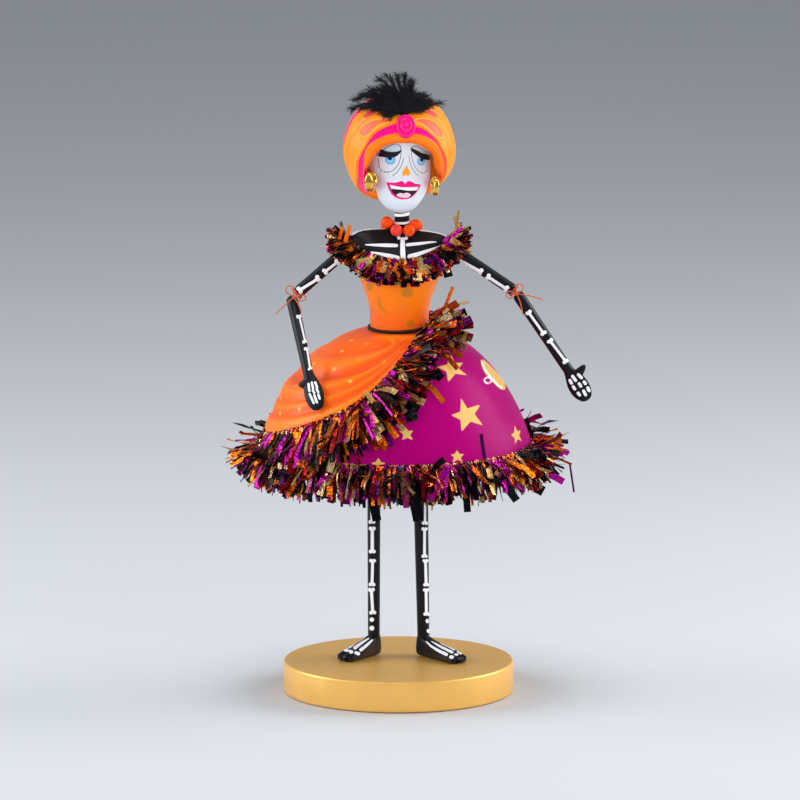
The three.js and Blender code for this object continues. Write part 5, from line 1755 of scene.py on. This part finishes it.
# The same round the shoulders
NECK_STRIPS = (
    ((40, -5, 330), (42, -2, 342), 1.8, 3), ((42, -1, 330), (39, -6, 339), 2.4, 3),
    ((38, -7, 325), (44, 0, 330), 2.8, 2), ((-42, 0, 320), (-39, -4, 331), 2.4, 0),
    ((-37, -7, 322), (-34, -10, 333), 2.8, 0), ((-44, 8, 310), (-33, -11, 317), 4.2, 0),
    ((10, -20, 309), (14, -20, 298), 4.9, 4), ((15, -19, 309), (21, -18, 301), 6.3, 3),
    ((1, -21, 304), (4, -21, 294), 4.9, 1), ((-15, -19, 306), (-19, -18, 295), 3.5, 2),
    ((-29, -13, 307), (-19, -18, 310), 5.6, 3), ((-13, -20, 309), (-14, -19, 296), 2.8, 7),
    ((-9, -20, 307), (-5, -21, 298), 2.8, 4), ((-1, -21, 308), (-7, -21, 297), 2.1, 0),
    ((32, -12, 323), (45, 8, 312), 4.9, 2), ((31, -13, 319), (44, 2, 309), 2.8, 0),
    ((37, -8, 323), (51, 8, 310), 4.2, 3), ((30, -14, 314), (35, -10, 297), 6.3, 1),
    ((18, -19, 309), (27, -15, 311), 3.5, 5),
)


def foil_materials():
    """Metal foils, made once and shared by the fringes."""
    made = []
    for name, _, _, colour_here, roughness in FOILS:
        material = bpy.data.materials.get(name)
        if material is None:
            foil = Finish(name, linear(*colour_here), roughness, 0.85)
            # Each strip is darkened by its shade number: painted shade, deepest on the under layer
            foil.wash("shade", (0.004, 0.002, 0.004, 1), 0.25, 1, 0.85)
            if name.endswith("glitter"):
                cells = foil.node("ShaderNodeTexVoronoi")
                foil.feed(cells.inputs["Vector"], foil.place)
                cells.inputs["Scale"].default_value = 2000
                grey = foil.node("ShaderNodeSeparateColor")
                foil.feed(grey.inputs["Color"], cells.outputs["Color"])
                foil.layer(linear(120, 78, 36), foil.spread(grey.outputs["Red"], 0.45, 0.8, 0, 0.75))
                # The lightest flakes are painted glints
                foil.layer(linear(255, 232, 180), foil.spread(grey.outputs["Blue"], 0.7, 0.9, 0, 0.6))
                foil.relief(grey.outputs["Green"], 0.8, 0.2)
            else:
                foil.rough(360, 2, 0.85, 1.2)
            material = foil.done()
        made.append(material)
    return made


# Foils of the ruched heading, which glints: mostly orange, cream and gold
HEADING_FOILS = (0, 3, 6, 0, 7, 4, 1, 2, 6, 5, 0, 3, 1)


def heading_bit(rng, start, out, down, tangent):
    """A short bit of the gathered heading by which a fringe is sewn on."""
    way = down + out * rng.uniform(0.1, 0.7) + tangent * rng.uniform(-0.35, 0.35)
    return strip(
        rng, start, way, tangent + out * rng.uniform(-0.4, 0.4), rng.uniform(2.6, 4.4), rng.uniform(0.9, 1.7),
        rng.choice(HEADING_FOILS), bend=0.2, crease=0.2, shade=rng.uniform(0, 0.4),
    )


def measured(rng, strips, root):
    """Single strips that stand out, laid flat on to the viewer; root(spot) is where each comes from."""
    made = []
    for start, end, width, foil in strips:
        start, end = Vector(start), Vector(end)
        shade = rng.uniform(0, 0.3)
        for a, b in ((start, end), (root(start), start)):
            way = b - a
            if a == start or 2 < way.length and way.normalized().dot((end - start).normalized()) > 0.35:
                # The part that is seen runs on a little under the next
                a = a - way.normalized() * 0.8
                made.append(strip(
                    rng, a, way, way.cross(TO_FRONT), (b - a).length + 0.4, width, foil,
                    bend=0.05, twist=0.06, crease=rng.uniform(-0.1, 0.12), shade=shade,
                ))
    return made


def fringe_strip(rng, start, heading, side, length, width, on_top, droop, shades, fall=0.0, **more):
    """One strip of a fringe, in a foil of the top layer or of the under layer, which lies in shade."""
    weights = [foil[2 if on_top else 1] for foil in FOILS]
    foil = rng.choices(range(len(FOILS)), weights=weights)[0]
    drop = rng.uniform(0, droop) + fall
    crease = rng.uniform(-0.2, 0.25)
    shade = rng.uniform(0, shades[0]) if on_top else rng.uniform(shades[1], 1)
    more.update(drop=drop, crease=crease, shade=shade)
    return strip(rng, start, heading, side, length, width, foil, **more)


def lay_foil(context, name, node, strips, segments, keep_clear, seed):
    """Lays the strips of a fringe in foil."""
    thickness = context.scene.doll_fringe.strip_thickness / MM
    foils = foil_materials()
    lay_strips(name, strips, 2, segments, thickness, [node], foils, keep_clear, seed)


def off_skirt(spots):
    """Keeps strips outside the dome of the skirt."""
    offset, _, height, level = dome_level(spots, 0.7)
    inside = (level < 1) & (spots[:, 2] > HEM_Z)
    grow = np.where(inside, np.maximum(level, 0.4) ** -0.45, 1.0)
    moved = spots.copy()
    moved[:, 0] = SKIRT_AXIS.x + offset[:, 0] * grow
    moved[:, 1] = SKIRT_AXIS.y + offset[:, 1] * grow
    moved[:, 2] = np.where(inside, HEM_Z + height * grow, spots[:, 2])
    return moved


class DOLL_OT_hem_fringe(bpy.types.Operator):
    """Foil fringe round the hem"""

    bl_idname = "doll.hem_fringe"
    bl_label = "Hem fringe"

    def rim(self, out, radius, height):
        return SKIRT_AXIS + out * radius + Vector((0, 0, height))

    def root(self, spot):
        out = Vector((spot.x - SKIRT_AXIS.x, spot.y - SKIRT_AXIS.y, 0)).normalized()
        return self.rim(out, HEM_RADIUS + 2, min(spot.z, HEM_Z - 3))

    def execute(self, context):
        fringe = context.scene.doll_fringe
        rng = random.Random(11)
        rows = []
        for index in range(fringe.hem_strips):
            on_top = index % 5 < 2
            out, tangent = ways_round(rng.uniform(0, TURN))
            # In front and at the right side the strips hang lower
            in_front = float(smooth(-out.y, 0.2, 0.8))
            at_right = float(smooth(-out.x, 0.4, 0.9))
            rise = 4 - 16 * in_front - 10 * at_right - (90 - 12 * in_front) * rng.random() ** 0.75
            swing = rng.uniform(-1.0, 1.0) if index % 3 else rng.uniform(-0.4, 0.4)
            heading = turned(turned(out, tangent, swing), UP, math.radians(rise))
            radius = HEM_RADIUS + rng.uniform(0.4, 1.6) + on_top
            start = self.rim(out, radius, HEM_Z - rng.uniform(-0.4, 2.4))
            side = tangent + Vector((0, 0, rng.uniform(-0.7, 0.7)))
            length = rng.uniform(20, 30) + 2 * at_right
            width = fringe.strip_width / MM * rng.uniform(0.28, 1.35)
            rows.append(fringe_strip(
                rng, start, heading, side, length, width, on_top, 0.12, (0.6, 0.4), 0.1 * in_front,
                bend=0.5 if on_top else 0.65, twist=0.6 if on_top else 0.8,
            ))
        bits = 620
        for index in range(bits):
            out, tangent = ways_round(TURN * (index + rng.uniform(-0.4, 0.4)) / bits)
            start = self.rim(out, HEM_RADIUS + rng.uniform(0.5, 2.4), HEM_Z - rng.uniform(-1.2, 0.2))
            rows.append(heading_bit(rng, start, out, DOWN, tangent))
        rows += measured(rng, HEM_STRIPS, self.root)
        lay_foil(context, "hem_foil", "hem_fringe", rows, 4, off_skirt, 12)
        return {"FINISHED"}


class DOLL_OT_drape_fringe(bpy.types.Operator):
    """Foil fringe along the edge of the overskirt"""

    bl_idname = "doll.drape_fringe"
    bl_label = "Overskirt fringe"

    # Length of the strips at degrees round from the right side
    LENGTHS = ((0, 24), (20, 28), (40, 38), (60, 40), (75, 33), (92, 29), (110, 25), (126, 22))
    BUNCH_FOILS = (0, 2, 3, 4, 1, 6, 3, 2)

    def edge(self, degrees):
        """Spot on the overskirt's edge, with the ways outward, along the edge and down the fringe."""
        spots = ((degrees, OVERSKIRT_LIFT - 0.9), (degrees, 4), (degrees + 1, 1.5), (degrees - 1, 1.5))
        here, above, ahead, behind = (
            dome(math.pi + math.radians(d), tilt_at_height(along(OVERSKIRT_EDGE, abs(d))), lift)
            for d, lift in spots
        )
        outward = (above - here).normalized()
        edge = (behind - ahead).normalized()
        down = edge.cross(outward).normalized()
        if down.z > 0:
            down.negate()
        return here, outward, edge, down

    def root(self, spot):
        edge = (self.edge(degrees)[0] for degrees in range(-124, 125, 2))
        nearest = min(edge, key=lambda here: (here - spot).length)
        return spot.lerp(nearest, 0.7)

    def execute(self, context):
        fringe = context.scene.doll_fringe
        rng = random.Random(23)
        rows = []
        while len(rows) < fringe.drape_strips:
            degrees = rng.uniform(-124, 124)
            if degrees < 0 and rng.random() < 0.4:
                continue
            on_top = rng.random() < 0.36
            here, outward, edge, down = self.edge(degrees)
            spread = abs(degrees)
            # Low on the side the strips hang straight down, and at the hip they fan out behind
            behind = float(smooth(degrees, 10, -10))
            straight = (0.5 if on_top else 0.8) * float(smooth(spread, 84, 36))
            straight = max(straight, 0.9 * behind * float(smooth(spread, 95, 60)))
            hip = float(smooth(spread, 100, 124))
            fan = 0.4 if on_top else 0.75
            swing = rng.uniform(-fan, fan) - 0.25 * hip
            heading = turned(down, edge, swing).lerp(DOWN, straight)
            lift = math.radians(rng.uniform(4, 26) if on_top else rng.uniform(0, 20)) * (1 - 0.75 * behind)
            heading = turned(heading, outward, lift)
            heading = heading + Vector((0.25, 0, 0.75)) * hip * rng.uniform(0, 1)
            start = here + outward * rng.uniform(0.2, 1.6) + down * rng.uniform(0, 1.6)
            side = edge + outward * rng.uniform(-0.55, 0.55)
            length = along(self.LENGTHS, spread) * rng.uniform(0.72, 1.06)
            width = fringe.strip_width / MM * rng.uniform(0.3, 1.3)
            rows.append(fringe_strip(
                rng, start, heading, side, length, width, on_top, 0.08, (0.55, 0.3),
                bend=(0.22 if on_top else 0.4) * (1 - 0.5 * behind), twist=0.2 if on_top else 0.5,
            ))
        for index in range(90):
            # At the hip the end of the fringe is gathered into a bunch
            on_top = index % 3 == 0
            start = Vector((rng.uniform(19, 34), rng.uniform(-26, -4), rng.uniform(256, 265)))
            fan = math.radians(rng.uniform(-50, 34))
            heading = Vector((math.cos(fan), rng.uniform(-0.4, 0.1), math.sin(fan)))
            side = heading.cross(Vector((0, -1, 0.2))) + Vector((0, rng.uniform(-0.6, 0.6), 0))
            length = rng.uniform(13, 23)
            width = fringe.strip_width / MM * rng.uniform(0.5, 1.6)
            rows.append(strip(
                rng, start, heading, side, length, width, rng.choice(self.BUNCH_FOILS),
                crease=rng.uniform(-0.2, 0.25), shade=rng.uniform(0, 0.6 if on_top else 1),
            ))
        bits = 300
        for index in range(bits):
            here, outward, edge, down = self.edge(-122 + 244 * (index + rng.uniform(-0.4, 0.4)) / bits)
            start = here + outward * rng.uniform(0.3, 1.2) + down * 0.2
            rows.append(heading_bit(rng, start, outward, down, edge))
        rows += measured(rng, DRAPE_STRIPS, self.root)
        lay_foil(context, "overskirt_foil", "drape_fringe", rows, 4, off_skirt, 24)
        return {"FINISHED"}


class DOLL_OT_neckline_fringe(bpy.types.Operator):
    """Foil fringe round the shoulders"""

    bl_idname = "doll.neckline_fringe"
    bl_label = "Neckline fringe"

    # Height of the fringe's upper edge in front, by distance from the middle
    FRONT_EDGE = ((0, 310.3), (13, 311.4), (22, 314.4), (30, 318.2), (36, 322))
    BITS = 190

    def root(self, spot):
        side = Vector((spot.x - BODY.x, spot.y - BODY.y, 0))
        return BODY + side * min(1, 34 / side.length) + Vector((0, 0, min(spot.z, 321)))

    def execute(self, context):
        strips = context.scene.doll_fringe.neck_strips
        rng = random.Random(37)
        rows = []
        for index in range(strips + self.BITS):
            turn = rng.uniform(0, TURN)
            turn -= 0.2 * math.sin(2 * turn)
            out, tangent = ways_round(turn)
            at_side = out.x**2
            level = 314 * (1 - at_side) + 321.5 * at_side
            if out.y < 0:
                level = along(self.FRONT_EDGE, abs(35 * out.x))
            deep = 22.4 * (1 - at_side) + 17.0 * at_side
            wide = 35.4 - 1.0 * at_side
            start = Vector((BODY.x + wide * out.x, BODY.y + deep * out.y, level))
            if index >= strips:
                start.z += rng.uniform(-0.6, 0.8)
                rows.append(heading_bit(rng, start + out * rng.uniform(0.2, 1), out, DOWN, tangent))
                continue
            on_top = index % 2 == 0
            swing = rng.uniform(-0.5, 0.5)
            rise = rng.uniform(-84, -32) * (1 - at_side**2) + rng.uniform(-62, 34) * at_side**2
            start.z -= rng.uniform(0.4, 2.5)
            heading = turned(turned(out, tangent, swing), UP, math.radians(rise))
            side = tangent + Vector((0, 0, rng.uniform(-0.6, 0.6)))
            # The strips are longer in front and on the shoulders
            length = rng.uniform(9, 13.5) + 6 * float(smooth(-out.y, 0.5, 0.95)) + 5 * at_side**2
            width = rng.uniform(2.4, 5.0)
            rows.append(fringe_strip(
                rng, start, heading, side, length, width, on_top, 0.1, (0.6, 0.3), bend=0.38, twist=0.38,
            ))
        rows += measured(rng, NECK_STRIPS, self.root)
        lay_foil(context, "neckline_foil", "neckline_fringe", rows, 3, self.off_torso, 38)
        return {"FINISHED"}

    def off_torso(self, spots):
        """Keeps strips outside the bodice."""
        wide, deep = (np.array([along(TORSO, min(z, 318), k) for z in spots[:, 2]]) + 0.6 for k in (1, 2))
        x, y = spots[:, 0] - BODY.x, spots[:, 1] - BODY.y
        level = np.hypot(x / wide, y / deep)
        grow = np.where((level < 1) & (spots[:, 2] < 320), 1 / np.maximum(level, 0.3), 1.0)
        moved = spots.copy()
        moved[:, 0] = BODY.x + x * grow
        moved[:, 1] = BODY.y + y * grow
        return moved


class DOLL_OT_plume(bpy.types.Operator):
    """Downy black feathers behind the jewel"""

    bl_idname = "doll.plume"
    bl_label = "Plume"

    def execute(self, context):
        rng = random.Random(5)
        total = sum(feather[2] for feather in FEATHERS)
        rows = []
        for bent, tip, share in FEATHERS:
            barbs = round(context.scene.doll_fringe.barbs / 2 * share / total)
            for copy in range(2):
                # The second copy of each feather lies a little behind
                back = 0 if copy == 0 else rng.uniform(4, 11)
                stray = (rng.uniform(-2.5, 2.5), rng.uniform(-0.5, 2.0) + back * 0.3, rng.uniform(-1, 1))
                root = PLUME_ROOT + Vector(stray)
                middle = self.on_front(*bent, 5, back * 0.6 + rng.uniform(-2, 1))
                end = self.on_front(*tip, 2, back + rng.uniform(-2, 2))
                for _ in range(barbs):
                    t = 0.95 * rng.random() ** 0.8
                    spot = root * (1 - t) ** 2 + middle * 2 * t * (1 - t) + end * t * t
                    quill = ((middle - root) * (1 - t) + (end - middle) * t).normalized()
                    up = (spot - HEAD_CENTRE).normalized()
                    across = quill.cross(up).normalized() * rng.choice((-1, 1))
                    heading = quill * 1.4 + across * rng.uniform(0.05, 1.0) + up * rng.uniform(-0.3, 0.35)
                    rows.append(strip(
                        rng, spot, heading, up.cross(heading), rng.uniform(6, 11.5) * (1 - 0.4 * t),
                        rng.uniform(0.2, 0.4), 0, bend=0.5, taper=0.85, drop=rng.uniform(0, 0.1),
                    ))
        down = Finish("down_black", (0.004, 0.004, 0.006, 1), 0.7)
        down.shader.inputs["Specular IOR Level"].default_value = 0.2
        # Some barbs, at random, are painted a lighter bluish black: a painted sheen
        down.wash("shade", (0.02, 0.018, 0.034, 1), 0.5, 1.0, 0.8)
        down.shader.inputs["Sheen Weight"].default_value = 0.06
        down.shader.inputs["Sheen Roughness"].default_value = 0.4
        lay_strips(
            "plume_down", rows, 1, 3, BARB_THICKNESS, ["feather_plume"], [down.done()],
            self.off_head, 6,
        )
        return {"FINISHED"}

    def on_front(self, x, up, lift, back):
        """Spot on the turban's front, or above it, that is seen at x and up."""
        y = -13.0
        for _ in range(8):
            height = up - VIEW_SLOPE * y - HEAD_CENTRE.z
            left = (TURBAN_RADIUS + lift) ** 2 - (x - HEAD_CENTRE.x) ** 2 - height**2
            y = HEAD_CENTRE.y - math.sqrt(max(left, 17.0**2))
        y += back
        return Vector((x, y, up - VIEW_SLOPE * y))

    def off_head(self, spots):
        """Keeps barbs above the turban, and none higher than the doll is tall."""
        offset = spots - np.array(HEAD_CENTRE)
        radius = np.linalg.norm(offset, axis=1)
        grow = np.where(radius < TURBAN_RADIUS + 0.6, (TURBAN_RADIUS + 0.6) / radius, 1.0)
        moved = np.array(HEAD_CENTRE) + offset * grow[:, None]
        moved[:, 2] = np.minimum(moved[:, 2], 441.0)
        return moved


class DOLL_OT_stage(bpy.types.Operator):
    """Pale floor, soft studio lights and the camera"""

    bl_idname = "doll.stage"
    bl_label = "Stage"

    def execute(self, context):
        scene = context.scene
        scene.view_settings.view_transform = "Standard"
        bm = bmesh.new()
        bmesh.ops.create_grid(bm, x_segments=2, y_segments=2, size=9)
        mesh = bpy.data.meshes.new("floor")
        bm.to_mesh(mesh)
        bm.free()
        floor = bpy.data.objects.new("floor", mesh)
        floor.location.z = -0.0003
        scene.collection.objects.link(floor)
        pale = Finish("floor_pale", (0.5, 0.52, 0.55, 1), 0.75)
        mesh.materials.append(pale.done())
        world = bpy.data.worlds.new("studio")
        world.use_nodes = True
        sky = world.node_tree.nodes["Background"]
        sky.inputs["Color"].default_value = (0.88, 0.92, 1.0, 1)
        sky.inputs["Strength"].default_value = 0.36
        scene.world = world
        # The side lights stand a little behind, so that they edge what is round, and those in front fill
        lights = (
            ("left", (-1.5, 0.15, 0.8), 1.1, 20, (0.95, 0.97, 1.0), True),
            ("right", (1.45, 0.35, 0.85), 1.1, 26, (1.0, 0.97, 0.94), True),
            ("right_fill", (1.2, -1.4, 0.9), 1.0, 10, (1.0, 0.98, 0.96), False),
            ("left_fill", (-1.2, -1.6, 0.7), 1.0, 9, (1.0, 1.0, 1.0), False),
            ("front", (0.1, -2.2, 0.5), 1.0, 14, (1, 1, 1), False),
            ("top", (-0.1, -0.1, 1.9), 1.2, 16, (1, 0.99, 0.97), True),
        )
        for name, place, size, watts, tint, mirrored in lights:
            lamp = bpy.data.lights.new(name, "AREA")
            lamp.shape = "SQUARE"
            lamp.size = size
            lamp.energy = watts
            lamp.color = tint
            light = bpy.data.objects.new(name, lamp)
            light.location = place
            light.visible_glossy = mirrored
            aim = Vector((0, 0, 0.24)) - Vector(place)
            light.rotation_euler = aim.to_track_quat("-Z", "Y").to_euler()
            scene.collection.objects.link(light)
        lens = bpy.data.cameras.new("camera")
        lens.lens = CAMERA_LENS
        lens.sensor_width = 36
        lens.clip_end = 60
        camera = bpy.data.objects.new("camera", lens)
        down = math.radians(CAMERA_DOWN)
        view = Vector((0, math.cos(down), -math.sin(down)))
        camera.location = (CAMERA_TARGET - view * CAMERA_DISTANCE) * MM
        camera.rotation_euler = (math.pi / 2 - down, 0, 0)
        scene.collection.objects.link(camera)
        scene.camera = camera
        return {"FINISHED"}


STEPS = (
    DOLL_OT_stage, DOLL_OT_stand, DOLL_OT_legs, DOLL_OT_skirt, DOLL_OT_overskirt, DOLL_OT_torso,
    DOLL_OT_waist_cord, DOLL_OT_arms, DOLL_OT_elbow_bows, DOLL_OT_face, DOLL_OT_turban, DOLL_OT_earrings,
    DOLL_OT_beads, DOLL_OT_plume, DOLL_OT_hem_fringe, DOLL_OT_drape_fringe, DOLL_OT_neckline_fringe,
)


class DOLL_PT_panel(bpy.types.Panel):
    """Pieces of the doll"""

    bl_idname = "DOLL_PT_panel"
    bl_label = "Doll"
    bl_space_type = "VIEW_3D"
    bl_region_type = "UI"
    bl_category = "Doll"

    def draw(self, context):
        column = self.layout.column()
        for step in STEPS:
            column.operator(step.bl_idname)
        for group in (context.scene.doll_colours, context.scene.doll_fringe):
            for key in group.__annotations__:
                column.prop(group, key)


CLASSES = (DollColours, DollFringe, *STEPS, DOLL_PT_panel)


def register():
    for kind in CLASSES:
        bpy.utils.register_class(kind)
    bpy.types.Scene.doll_colours = PointerProperty(type=DollColours)
    bpy.types.Scene.doll_fringe = PointerProperty(type=DollFringe)


def unregister():
    del bpy.types.Scene.doll_fringe
    del bpy.types.Scene.doll_colours
    for kind in reversed(CLASSES):
        bpy.utils.unregister_class(kind)


def main():
    register()
    for step in STEPS:
        getattr(bpy.ops.doll, step.bl_idname.split(".")[1])()


if __name__ == "__main__":
    main()
